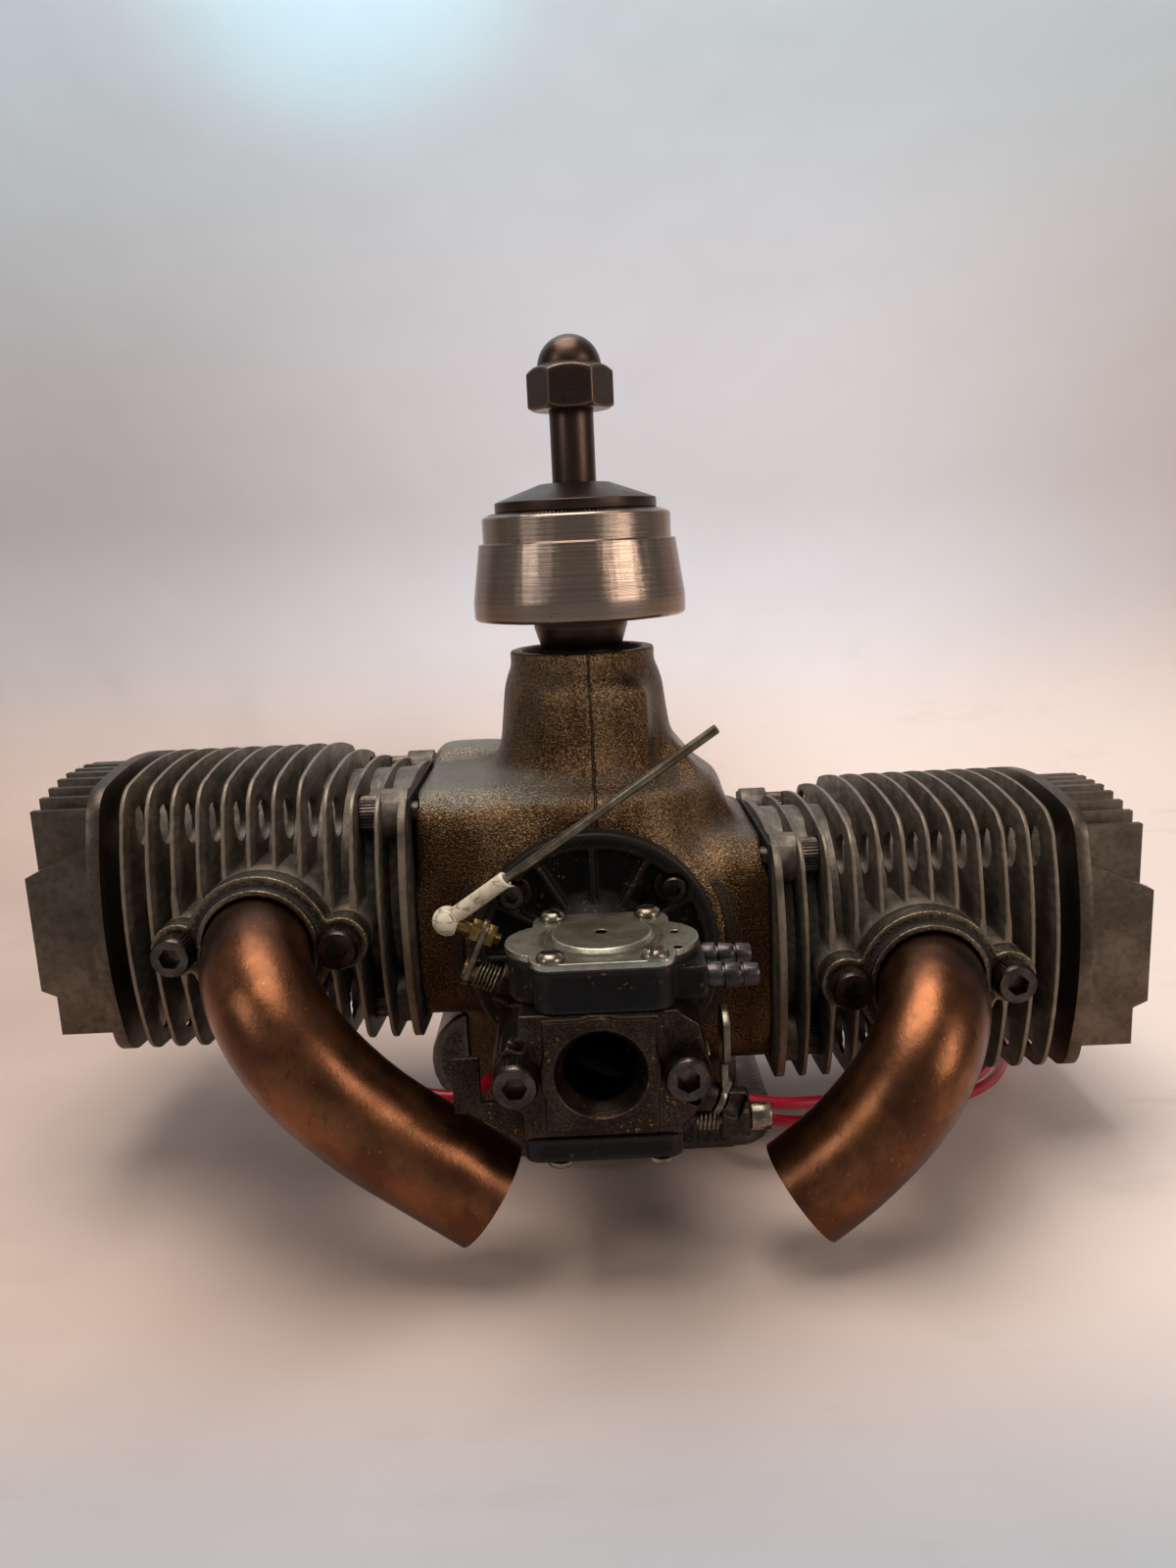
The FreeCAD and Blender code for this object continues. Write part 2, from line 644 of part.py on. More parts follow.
# ================================================================ crank train
def crankshaft():
    """Built crank: two opposed throws, three webs, front and rear journals."""
    pieces = [
        rod(CRANK_WEB_R, up(0, 0, FRONT_WEB_TOP_Z - CRANK_WEB), up(0, 0, FRONT_WEB_TOP_Z)),
        rod(CRANK_WEB_R, up(0, 0, REAR_WEB_BOTTOM_Z), up(0, 0, REAR_WEB_BOTTOM_Z + CRANK_WEB)),
        rod(MAIN_SHAFT_R, up(0, 0, FRONT_WEB_TOP_Z), up(0, 0, SHAFT_END_Z)),
        rod(MAIN_SHAFT_R + 2, up(0, 0, FRONT_WEB_TOP_Z), up(0, 0, MAIN_BEARING_Z)),
        rod(REAR_SHAFT_R, up(0, 0, REAR_BEARING_Z - 1), up(0, 0, REAR_WEB_BOTTOM_Z)),
        rod(REAR_SHAFT_R + 1.5, up(0, 0, REAR_BEARING_Z + REAR_BEARING_WIDTH), up(0, 0, REAR_WEB_BOTTOM_Z)),
    ]
    web_low = RIGHT_Z + CRANK_PIN_WIDTH / 2
    web_high = LEFT_Z - CRANK_PIN_WIDTH / 2
    pieces.append(box(-CRANK_R, CRANK_R, -ROD_EYE_R, ROD_EYE_R, web_low, web_high))
    for side in SIDES:
        pieces.append(rod(ROD_EYE_R, up(side * CRANK_R, 0, web_low), up(side * CRANK_R, 0, web_high)))
    pieces.append(rod(CRANK_PIN_R, up(-CRANK_R, 0, web_high), up(-CRANK_R, 0, FRONT_WEB_TOP_Z)))
    pieces.append(rod(CRANK_PIN_R, up(CRANK_R, 0, REAR_WEB_BOTTOM_Z), up(CRANK_R, 0, web_low)))
    thread = rod(PROP_BOLT_R, up(0, 0, PROP_BOLT_FOOT_Z), up(0, 0, SHAFT_END_Z + 1))
    return joined(pieces).cut(thread)


def rod_eyes():
    """Big-end eyes, which turn with their crank pins."""
    eyes = []
    for side in SIDES:
        low = up(side * CRANK_R, 0, axis_z(side) - CRANK_PIN_WIDTH / 2 + SIDE_PLAY)
        high = up(side * CRANK_R, 0, axis_z(side) + CRANK_PIN_WIDTH / 2 - SIDE_PLAY)
        eyes.append(ring(ROD_EYE_R, CRANK_PIN_R, low, high))
    return eyes


def conrod():
    """Connecting rod from beside the big-end eye to the wrist pin."""
    start = CRANK_R + ROD_EYE_R + SIDE_PLAY
    shank = box(start, WRIST_X, -ROD_SHANK_WIDTH / 2, ROD_SHANK_WIDTH / 2,
                -ROD_SHANK_DEPTH / 2, ROD_SHANK_DEPTH / 2)
    flutes = [box(start + 6, WRIST_X - SMALL_END_R - 4, -ROD_SHANK_WIDTH / 2 + 1.6, ROD_SHANK_WIDTH / 2 - 1.6,
                  s * 1.5, s * ROD_SHANK_DEPTH) for s in SIDES]
    eye = rod(SMALL_END_R, V(WRIST_X, 0, -ROD_SHANK_DEPTH / 2), V(WRIST_X, 0, ROD_SHANK_DEPTH / 2))
    pin = rod(WRIST_PIN_R + SEAT, V(WRIST_X, 0, -20), V(WRIST_X, 0, 20))
    return without(joined([shank.cut(Part.makeCompound(flutes)), eye]), [pin])


def ring_places():
    """Distance from the crank axis to the lower face of each piston ring."""
    return [PISTON_TOP_X - 3.6, PISTON_TOP_X - 6.8]


def piston():
    """Hollow piston at the outer end of its stroke."""
    outer_r = BORE / 2 - PISTON_CLEARANCE
    skirt_x = WRIST_X - PISTON_SKIRT_UNDER_PIN
    body = rod(outer_r, V(skirt_x, 0, 0), V(PISTON_TOP_X, 0, 0))
    hollow = rod(outer_r - PISTON_WALL, V(skirt_x - 1, 0, 0), V(PISTON_TOP_X - 5, 0, 0))
    bosses = [rod(SMALL_END_R, V(WRIST_X, 0, s * (ROD_SHANK_DEPTH / 2 + 1)), V(WRIST_X, 0, s * (outer_r - 1)))
              for s in SIDES]
    inside = rod(outer_r - 0.5, V(skirt_x, 0, 0), V(PISTON_TOP_X - 1, 0, 0))
    bosses = [boss.common(inside) for boss in bosses]
    pin = rod(WRIST_PIN_R + SEAT, V(WRIST_X, 0, -BORE), V(WRIST_X, 0, BORE))
    grooves = [ring(outer_r + 1, outer_r - RING_DEPTH, V(x, 0, 0), V(x + RING_HEIGHT, 0, 0)) for x in ring_places()]
    return without(joined([body.cut(hollow)] + bosses), [pin] + grooves)


def piston_ring_set():
    """Two rings of one piston."""
    outer_r = BORE / 2 - SEAT
    inner_r = BORE / 2 - PISTON_CLEARANCE - RING_DEPTH + SEAT
    return [ring(outer_r, inner_r, V(x, 0, 0), V(x + RING_HEIGHT, 0, 0)) for x in ring_places()]


def wrist_pin():
    """Hollow floating pin, parallel to the crank."""
    half = BORE / 2 - 2.0
    return ring(WRIST_PIN_R, WRIST_PIN_R - 2, V(WRIST_X, 0, -half), V(WRIST_X, 0, half))


# ================================================================ cylinders
def fin_outline(x, top_loss):
    """Closed outline of a fin at a distance from the crank: bowed sides, round corners."""
    high = FIN_HALF_HEIGHT - top_loss
    low = FIN_LOW
    wide = FIN_HALF_DEPTH
    shoulder_y = wide - 4.7
    crown_y = wide - 12.0
    corner_y = wide - 7.0
    edges = []

    def bow(a, b, c):
        edges.append(Part.Arc(V(x, *a), V(x, *b), V(x, *c)).toShape())

    top = (high - 8.7, high - 4.4, high - 1.9)
    back = [height - FIN_BACK_DROP for height in top]
    bottom = (low - 6.0, low - 3.4, low - 1.7)
    bow((-shoulder_y, -bottom[0]), (-wide, 0), (-shoulder_y, top[0]))
    bow((-shoulder_y, top[0]), (-corner_y, top[1]), (-crown_y, top[2]))
    bow((-crown_y, top[2]), (0, high), (crown_y, back[2]))
    bow((crown_y, back[2]), (corner_y, back[1]), (shoulder_y, back[0]))
    bow((shoulder_y, back[0]), (wide, 0), (shoulder_y, -bottom[0]))
    bow((shoulder_y, -bottom[0]), (corner_y, -bottom[1]), (crown_y, -bottom[2]))
    bow((crown_y, -bottom[2]), (0, -low), (-crown_y, -bottom[2]))
    bow((-crown_y, -bottom[2]), (-corner_y, -bottom[1]), (-shoulder_y, -bottom[0]))
    return Part.Face(Part.Wire(edges))


def fin(x, thickness, top_loss):
    """One fin plate starting at x."""
    return fin_outline(x, top_loss).extrude(V(thickness, 0, 0))


def fin_top_loss(index):
    """How much shorter a fin is at its top edge."""
    return FIN_TOP_LOSS[index] if index < len(FIN_TOP_LOSS) else 0.0


def port_bolt_xs():
    """The two exhaust bolts, either side of the port."""
    return [PORT_X + s * PORT_BOLT_SPACING / 2 for s in SIDES]


def port_ears(radius, ear_r, y0, y1):
    """A round body with two ears across Y, at the exhaust port."""
    pieces = [rod(radius, V(PORT_X, y0, -PORT_DROP), V(PORT_X, y1, -PORT_DROP))]
    for x in port_bolt_xs():
        pieces.append(rod(ear_r, V(x, y0, -PORT_DROP), V(x, y1, -PORT_DROP)))
    half = PORT_BOLT_SPACING / 2
    pieces.append(box(PORT_X - half, PORT_X + half, y0, y1, -PORT_DROP - ear_r * 0.8, -PORT_DROP + ear_r * 0.8))
    return joined(pieces)


def cylinder():
    """Finned barrel with spigot, base flange, exhaust stub and bolt access holes."""
    pieces = [rod(SPIGOT_R, V(SPIGOT_START_X, 0, 0), V(FLANGE_X + 1, 0, 0)),
              rod(BARREL_R, V(FLANGE_X, 0, 0), V(BARREL_END_X, 0, 0)),
              fin(FLANGE_X, BASE_FLANGE, BASE_TOP_LOSS),
              port_ears(FLANGE_R, PORT_EAR_R, PORT_SEAT_Y, -BORE / 2 - 4)]
    for index, x in enumerate(FIN_XS):
        pieces.append(fin(x - FIN_THICKNESS / 2, FIN_THICKNESS, fin_top_loss(index)))
    for y, z in corner_points(CYLINDER_BOLT_Y, CYLINDER_BOLT_Z):
        pieces.append(rod(BOLT_LOBE_R, V(FLANGE_X, y, z), V(BOLT_SEAT_X, y, z)))
    cutters = [rod(BORE / 2, V(SPIGOT_START_X - 1, 0, 0), V(BARREL_END_X + 1, 0, 0)),
               rod(PIPE_R - PIPE_WALL, V(PORT_X, PORT_SEAT_Y - 1, -PORT_DROP), V(PORT_X, -BORE / 2 + 3, -PORT_DROP))]
    for y, z in corner_points(CYLINDER_BOLT_Y, CYLINDER_BOLT_Z):
        cutters.append(rod(M5_R + SCREW_FIT, V(FLANGE_X - 1, y, z), V(BOLT_SEAT_X + 1, y, z)))
        cutters.append(rod(M5_HEAD_R + SCREW_FIT, V(BOLT_SEAT_X, y, z), V(BARREL_END_X + 1, y, z)))
    for x in port_bolt_xs():
        cutters.append(rod(M5_R, V(x, PORT_SEAT_Y - 1, -PORT_DROP), V(x, PORT_SEAT_Y + 9, -PORT_DROP)))
    for y, z in corner_points(HEAD_BOLT_OFFSET, HEAD_BOLT_OFFSET):
        cutters.append(rod(HEAD_BOLT_R, V(BARREL_END_X - 8, y, z), V(BARREL_END_X + 1, y, z)))
    for s in SIDES:
        cutters.append(box(PORT_X - 6, PORT_X + 3, -7, 7, s * (BORE / 2 - 2), s * (BORE / 2 + 3)))
    return without(joined(pieces), cutters)


def cylinder_bolt_set():
    """Four long-reach bolts that hold one cylinder to its arm."""
    length = BOLT_SEAT_X - ARM_END_X + 12
    return [socket_screw(M5_R, M5_HEAD_R, M5_HEAD, length, V(BOLT_SEAT_X, y, z), X_AXIS)
            for y, z in corner_points(CYLINDER_BOLT_Y, CYLINDER_BOLT_Z)]


def base_gasket():
    """Gasket between an arm and its cylinder."""
    sheet = box(ARM_END_X, ARM_END_X + GASKET, -ARM_HALF_Y + 1, ARM_HALF_Y - 1, -ARM_HALF_Z + 1, ARM_HALF_Z - 1)
    holes = [rod(M5_R + SCREW_FIT, V(ARM_END_X - 1, y, z), V(FLANGE_X + 1, y, z))
             for y, z in corner_points(CYLINDER_BOLT_Y, CYLINDER_BOLT_Z)]
    bore = rod(SPIGOT_R + SEAT, V(ARM_END_X - 1, 0, 0), V(FLANGE_X + 1, 0, 0))
    return without(sheet, holes + [bore])


def head_gasket():
    """Ring between the barrel and the head."""
    return ring(BARREL_R, BORE / 2, V(BARREL_END_X, 0, 0), V(HEAD_X, 0, 0)).cut(
        Part.makeCompound(head_bolt_holes(BARREL_END_X - 1, HEAD_X + 1)))


def head_bolt_holes(x0, x1):
    """The four head bolt holes between two distances."""
    return [rod(HEAD_BOLT_R + SCREW_FIT, V(x0, y, z), V(x1, y, z))
            for y, z in corner_points(HEAD_BOLT_OFFSET, HEAD_BOLT_OFFSET)]


def head_fins():
    """Fins across the head, and the two stout side plates."""
    fins = []
    for index, half in enumerate(HEAD_FIN_HALF_HEIGHTS):
        for s in SIDES:
            y = s * index * HEAD_FIN_PITCH
            fins.append(box(HEAD_FACE_X - 1, HEAD_END_X, y - HEAD_FIN_THICKNESS / 2, y + HEAD_FIN_THICKNESS / 2,
                            -half, half))
            if index == 0:
                break
    for s in SIDES:
        y = s * (HEAD_SIDE_Y - HEAD_SIDE_THICKNESS / 2)
        side = [V(HEAD_FACE_X - 1, y, -HEAD_SIDE_ROOT), V(HEAD_END_X, y, -HEAD_SIDE_TIP),
                V(HEAD_END_X, y, HEAD_SIDE_TIP), V(HEAD_FACE_X - 1, y, HEAD_SIDE_ROOT)]
        fins.append(polygon_slab(side, V(0, s * HEAD_SIDE_THICKNESS, 0)))
    return fins


def head():
    """Bare metal head: flange, core, fins, plug boss and combustion chamber."""
    pieces = [fin(HEAD_X, HEAD_FLANGE, 0), rod(HEAD_CORE_R, V(HEAD_X, 0, 0), V(HEAD_FACE_X + HEAD_CORE, 0, 0))]
    pieces += head_fins()
    pieces.append(rod(PLUG_BOSS_R, V(PLUG_X, 8, 0), V(PLUG_X, PLUG_SEAT_Y, 0)))
    sphere_r = (CHAMBER_HALF ** 2 + CHAMBER_DEPTH ** 2) / (2 * CHAMBER_DEPTH)
    dome = Part.makeSphere(sphere_r, V(HEAD_X + CHAMBER_DEPTH - sphere_r, 0, 0))
    counter = HEAD_FACE_X + 1.0
    cutters = [dome, rod(PLUG_THREAD_R, V(PLUG_X, 8, 0), V(PLUG_X, PLUG_SEAT_Y + 1, 0)),
               rod(PLUG_RECESS_R, V(PLUG_X, PLUG_SEAT_Y, 0), V(PLUG_X, HEAD_SIDE_Y + 9, 0)),
               box(HEAD_X + 1, PLUG_X, 8, 11, -3, 3)]
    cutters += head_bolt_holes(HEAD_X - 1, HEAD_END_X)
    for y, z in corner_points(HEAD_BOLT_OFFSET, HEAD_BOLT_OFFSET):
        cutters.append(rod(4.0, V(counter, y, z), V(HEAD_END_X + 1, y, z)))
    return without(joined(pieces), cutters)


def head_bolt_set():
    """Four bolts sunk between the head's fins."""
    seat = HEAD_FACE_X + 1.0
    return [socket_screw(HEAD_BOLT_R, 3.5, 4.0, seat - BARREL_END_X + 7, V(seat, y, z), X_AXIS)
            for y, z in corner_points(HEAD_BOLT_OFFSET, HEAD_BOLT_OFFSET)]


def spark_plug():
    """Steel plug shell with its hexagon and insulator nose."""
    thread = rod(PLUG_THREAD_R, V(PLUG_X, PLUG_SEAT_Y - PLUG_THREAD, 0), V(PLUG_X, PLUG_SEAT_Y, 0))
    hexa = hexagon(PLUG_HEX_AF, V(PLUG_X, PLUG_SEAT_Y, 0), V(0, PLUG_HEX_LENGTH, 0))
    nose = rod(CAP_R - CAP_WALL, V(PLUG_X, PLUG_SEAT_Y, 0), V(PLUG_X, PLUG_SEAT_Y + PLUG_HEX_LENGTH + 15, 0))
    return joined([thread, hexa, nose])


def plug_cap():
    """Rubber elbow cap over the plug, its lead arm pointing down."""
    start = PLUG_SEAT_Y + PLUG_HEX_LENGTH
    barrel = rod(CAP_R, V(PLUG_X, start, 0), V(PLUG_X, start + CAP_LENGTH, 0))
    arm_y = start + CAP_LENGTH - CAP_ARM_R - 1
    side_arm = rod(CAP_ARM_R, V(PLUG_X, arm_y, 0), V(PLUG_X, arm_y, -CAP_ARM_LENGTH))
    hollow = rod(CAP_R - CAP_WALL, V(PLUG_X, start - 1, 0), V(PLUG_X, start + 15, 0))
    return joined([barrel, side_arm]).cut(hollow)


# ================================================================ exhausts
def exhaust_gasket():
    """Gasket at the exhaust port seat."""
    sheet = port_ears(FLANGE_R, PORT_EAR_R, PORT_SEAT_Y, PORT_SEAT_Y - EXHAUST_GASKET)
    return without(sheet, port_holes(PIPE_R - PIPE_WALL, M5_R + SCREW_FIT))


def port_holes(bore_r, bolt_r):
    """The port bore and the two bolt holes as long cutters."""
    far = PORT_SEAT_Y - 30
    holes = [rod(bore_r, V(PORT_X, far, -PORT_DROP), V(PORT_X, PORT_SEAT_Y + 1, -PORT_DROP))]
    for x in port_bolt_xs():
        holes.append(rod(bolt_r, V(x, far, -PORT_DROP), V(x, PORT_SEAT_Y + 1, -PORT_DROP)))
    return holes


def flange_face_y():
    """Front face of the exhaust flange's ears."""
    return PORT_SEAT_Y - EXHAUST_GASKET - FLANGE_THICKNESS


def exhaust_flange():
    """Cast flange with two ears and a raised lip round the pipe."""
    face = flange_face_y()
    plate = port_ears(FLANGE_R, PORT_EAR_R, PORT_SEAT_Y - EXHAUST_GASKET, face)
    lip = rod(FLANGE_LIP_R, V(PORT_X, face, -PORT_DROP), V(PORT_X, face - FLANGE_LIP, -PORT_DROP))
    return without(joined([plate, lip]), port_holes(PIPE_R + PIPE_FIT, M5_R + SCREW_FIT))


def exhaust_bolt_pair():
    """Two socket screws that hold one exhaust flange."""
    face = flange_face_y()
    return [socket_screw(M5_R, M5_HEAD_R, M5_HEAD, 12, V(x, face, -PORT_DROP), V(0, -1, 0)) for x in port_bolt_xs()]


def pipe_path(tail, start_back):
    """Centre line of a pipe built on the right: forward, down and in, then flatter."""
    start = V(PORT_X, PORT_SEAT_Y - EXHAUST_GASKET + start_back, -PORT_DROP)
    bend_in = V(PORT_X, PORT_SEAT_Y - EXHAUST_GASKET - PIPE_LEAD_IN, -PORT_DROP)
    fall = math.radians(PIPE_FALL)
    down = V(-math.cos(fall), 0, -math.sin(fall))
    forward = V(0, -1, 0)
    bend_out = bend_in + (forward + down) * PIPE_BEND_R
    half = math.sqrt(0.5)
    bend_mid = bend_in + forward * (PIPE_BEND_R * half) + down * (PIPE_BEND_R * (1 - half))
    last = math.radians(PIPE_FINAL_FALL)

    def along(angle):
        dx = math.sin(fall) - math.sin(angle)
        dz = math.cos(angle) - math.cos(fall)
        return bend_out + V(-dx, 0, -dz) * PIPE_SECOND_R

    second_out = along(last)
    end = second_out + V(-math.cos(last), 0, -math.sin(last)) * tail
    edges = [Part.LineSegment(start, bend_in).toShape(), Part.Arc(bend_in, bend_mid, bend_out).toShape(),
             Part.Arc(bend_out, along((fall + last) / 2), second_out).toShape(),
             Part.LineSegment(second_out, end).toShape()]
    return Part.Wire(edges)


def swept(path, radius, direction):
    """A round bar swept along a path that starts in a direction."""
    start = path.OrderedVertexes[0].Point
    circle = Part.Wire(Part.makeCircle(radius, start, direction))
    return path.makePipeShell([circle], True, False)


def exhaust_pipe(side):
    """Bent copper pipe, open at both ends."""
    tail = PIPE_TAIL_LEFT if side == LEFT else PIPE_TAIL_RIGHT
    outer = swept(pipe_path(tail, 0), PIPE_R, V(0, -1, 0))
    inner = swept(pipe_path(tail, 0), PIPE_R - PIPE_WALL, V(0, -1, 0))
    return on_side(outer.cut(inner), side)


# ================================================================ propeller drive
def collar():
    """Dark steel thrust collar under the hub."""
    bore = MAIN_SHAFT_R
    return turned([(bore, COLLAR_BOTTOM_Z), (COLLAR_FOOT_R, COLLAR_BOTTOM_Z), (COLLAR_FOOT_R, COLLAR_BOTTOM_Z + 2),
                   (COLLAR_R, COLLAR_TAPER_Z), (COLLAR_R, HUB_BOTTOM_Z), (bore, HUB_BOTTOM_Z)])


def hub():
    """Turned propeller hub with a toothed drive face."""
    bore = MAIN_SHAFT_R
    body = turned([(bore, HUB_BOTTOM_Z), (HUB_BAND_R - 0.6, HUB_BOTTOM_Z), (HUB_BAND_R, HUB_BOTTOM_Z + 0.6),
                   (HUB_BAND_R, HUB_BAND_Z), (HUB_CONE_R, HUB_STEP_Z), (HUB_TOP_R, HUB_STEP_Z),
                   (HUB_TOP_R, HUB_TOP_Z - 0.5), (HUB_TOP_R - 0.5, HUB_TOP_Z), (bore, HUB_TOP_Z)])
    teeth = []
    for index in range(HUB_TOOTH_COUNT):
        width = math.pi * HUB_TOP_R / HUB_TOOTH_COUNT
        tooth = box(HUB_TOP_R - 7, HUB_TOP_R - 1, -width / 2, width / 2, HUB_TOP_Z - 0.2, HUB_TOP_Z + HUB_TOOTH)
        tooth.rotate(ORIGIN, Z_AXIS, 360 * index / HUB_TOOTH_COUNT)
        teeth.append(tooth)
    return joined([body] + teeth)


def washer():
    """Coned steel washer that clamps the propeller."""
    low = HUB_TOP_Z + HUB_TOOTH
    bore = PROP_BOLT_R + SEAT
    return turned([(bore, low), (WASHER_R, low), (WASHER_R, low + WASHER_RIM), (WASHER_TOP_R, WASHER_TOP_Z),
                   (bore, WASHER_TOP_Z)])


def prop_bolt():
    """Stud that the propeller nut runs on."""
    return rod(PROP_BOLT_R, up(0, 0, PROP_BOLT_FOOT_Z), up(0, 0, NUT_BOTTOM_Z + NUT_BORE_DEPTH))


def cap_nut():
    """Domed nut."""
    hexa = hexagon(NUT_AF, up(0, 0, NUT_BOTTOM_Z), V(0, 0, NUT_HEX))
    corner_r = NUT_AF / 2 / math.cos(math.radians(30))
    trim = turned([(0, NUT_BOTTOM_Z), (NUT_AF / 2, NUT_BOTTOM_Z), (corner_r, NUT_BOTTOM_Z + 0.8),
                   (corner_r, NUT_BOTTOM_Z + NUT_HEX - 1.2), (NUT_AF / 2 - 0.4, NUT_BOTTOM_Z + NUT_HEX),
                   (0, NUT_BOTTOM_Z + NUT_HEX)])
    dome_z = NUT_TOP_Z - NUT_DOME_R
    neck = rod(NUT_DOME_R, up(0, 0, NUT_BOTTOM_Z + NUT_HEX - 1), up(0, 0, dome_z))
    dome = Part.makeSphere(NUT_DOME_R, up(0, 0, dome_z))
    bore = rod(PROP_BOLT_R, up(0, 0, NUT_BOTTOM_Z - 1), up(0, 0, NUT_BOTTOM_Z + NUT_BORE_DEPTH))
    return joined([hexa.common(trim), neck, dome]).cut(bore)


# ================================================================ intake
def manifold_screw_points():
    """Four screws round the intake plate."""
    return [(sx * MANIFOLD_SCREW_X, INTAKE_Z + sz * MANIFOLD_SCREW_Z) for sx in SIDES for sz in SIDES]


def funnel(start_r, end_r, y0, y1):
    """A leaning cone from the intake axis to the carburettor axis."""
    big = Part.Wire(Part.makeCircle(start_r, V(0, y0, INTAKE_Z), Y_AXIS))
    small = Part.Wire(Part.makeCircle(end_r, V(0, y1, CARB_Z), Y_AXIS))
    return Part.makeLoft([big, small], True)


def intake_manifold():
    """Black round intake plate: ring, floor, radial ribs, funnel and carburettor flange."""
    disc = rod(MANIFOLD_R, V(0, MANIFOLD_BACK_Y, INTAKE_Z), V(0, MANIFOLD_FRONT_Y, INTAKE_Z))
    floor_y = MANIFOLD_BACK_Y - MANIFOLD_FLOOR
    inner_r = MANIFOLD_R - MANIFOLD_RING
    dish = rod(inner_r, V(0, floor_y, INTAKE_Z), V(0, MANIFOLD_FRONT_Y - 1, INTAKE_Z))
    pieces = [disc.cut(dish), funnel(FUNNEL_R, FUNNEL_TIP_R, MANIFOLD_BACK_Y, CARB_FLANGE_Y - 1)]
    pieces.append(stadium(CARB_BOLT_X + CARB_EAR_R, CARB_EAR_R + 4, CARB_FLANGE_Y,
                          CARB_FLANGE_Y - CARB_FLANGE, 0, CARB_Z))
    for index in range(MANIFOLD_RIBS):
        rib = box(8, inner_r + 1, floor_y + 1, MANIFOLD_FRONT_Y, -MANIFOLD_RIB / 2, MANIFOLD_RIB / 2)
        rib.rotate(ORIGIN, Y_AXIS, 360 * index / MANIFOLD_RIBS + 90)
        rib.translate(V(0, 0, INTAKE_Z))
        pieces.append(rib)
    for x, z in manifold_screw_points():
        pieces.append(rod(M3_HEAD_R + 1.4, V(x, MANIFOLD_BACK_Y, z), V(x, MANIFOLD_FRONT_Y + 1, z)))
    cutters = [funnel(FUNNEL_R - FUNNEL_WALL, THROAT_R, MANIFOLD_BACK_Y + 0.01, CARB_FLANGE_Y - CARB_FLANGE - 0.01)]
    for x, z in manifold_screw_points():
        cutters.append(rod(M3_R + SCREW_FIT, V(x, MANIFOLD_BACK_Y + 1, z), V(x, MANIFOLD_FRONT_Y - 1, z)))
        cutters.append(rod(M3_HEAD_R + SCREW_FIT, V(x, MANIFOLD_FRONT_Y + 1, z), V(x, MANIFOLD_FRONT_Y - 4, z)))
    for s in SIDES:
        cutters.append(rod(M5_R, V(s * CARB_BOLT_X, CARB_FLANGE_Y + 1, CARB_Z),
                           V(s * CARB_BOLT_X, CARB_FLANGE_Y - CARB_FLANGE - 1, CARB_Z)))
    return without(joined(pieces), cutters)


def manifold_screws():
    """Four socket screws that hold the intake plate."""
    seat = MANIFOLD_FRONT_Y + 1
    return [socket_screw(M3_R, M3_HEAD_R, M3_HEAD, 8, V(x, seat, z), V(0, -1, 0))
            for x, z in manifold_screw_points()]


def intake_gasket():
    """Gasket between the case pad and the intake plate."""
    sheet = ring(MANIFOLD_R, INTAKE_HOLE_R, V(0, INTAKE_PAD_Y, INTAKE_Z), V(0, MANIFOLD_BACK_Y, INTAKE_Z))
    holes = [rod(M3_R + SCREW_FIT, V(x, INTAKE_PAD_Y + 1, z), V(x, MANIFOLD_BACK_Y - 1, z))
             for x, z in manifold_screw_points()]
    return without(sheet, holes)


def reed_ports():
    """Centres of the reed plate's four ports."""
    return [(sx * REED_PORT_OFFSET, INTAKE_Z + sz * REED_PORT_OFFSET) for sx in SIDES for sz in SIDES]


def reed_plate():
    """Flat reed valve plate in the case's intake hole."""
    front = MANIFOLD_BACK_Y
    disc = rod(INTAKE_HOLE_R - SEAT, V(0, front, INTAKE_Z), V(0, front + REED_PLATE, INTAKE_Z))
    ports = [box(x - REED_PORT_WIDTH / 2, x + REED_PORT_WIDTH / 2, front - 1, front + REED_PLATE + 1,
                 z - REED_PORT_HEIGHT / 2, z + REED_PORT_HEIGHT / 2) for x, z in reed_ports()]
    return without(disc, ports)


def reed_petals():
    """Four spring reeds on the crank side of their ports."""
    back = MANIFOLD_BACK_Y + REED_PLATE
    margin = 0.8
    return [box(x - REED_PORT_WIDTH / 2 - margin, x + REED_PORT_WIDTH / 2 + margin, back, back + REED_PETAL,
                z - REED_PORT_HEIGHT / 2 - margin, z + REED_PORT_HEIGHT / 2 + margin) for x, z in reed_ports()]


# ================================================================ carburettor
def tilted(shape, y):
    """A shape built round the X axis, tilted like the shafts and set on the throat axis."""
    placed = shape.copy()
    placed.rotate(ORIGIN, Y_AXIS, SHAFT_TILT)
    placed.translate(V(0, y, CARB_Z))
    return placed


def tilted_point(x, y, z):
    """A point of a shaft's own frame, in the engine's frame."""
    turn = FreeCAD.Rotation(Y_AXIS, SHAFT_TILT)
    return turn.multVec(V(x, 0, z)) + V(0, y, CARB_Z)


def throat_cutters():
    """Bell mouth, bores and venturi of the air passage."""
    def at(y):
        return V(0, y, CARB_Z)
    bell = Part.makeCone(BELL_R, THROAT_R, BELL_DEPTH, at(CARB_FRONT_Y), Y_AXIS)
    front = rod(THROAT_R, at(CARB_FRONT_Y - 1), at(VENTURI_Y - VENTURI_LENGTH / 2))
    waist = rod(VENTURI_R, at(VENTURI_Y - VENTURI_LENGTH), at(VENTURI_Y + VENTURI_LENGTH))
    rear = rod(THROAT_R, at(VENTURI_Y + VENTURI_LENGTH / 2), at(CARB_REAR_Y + 1))
    return [bell, front, waist, rear]


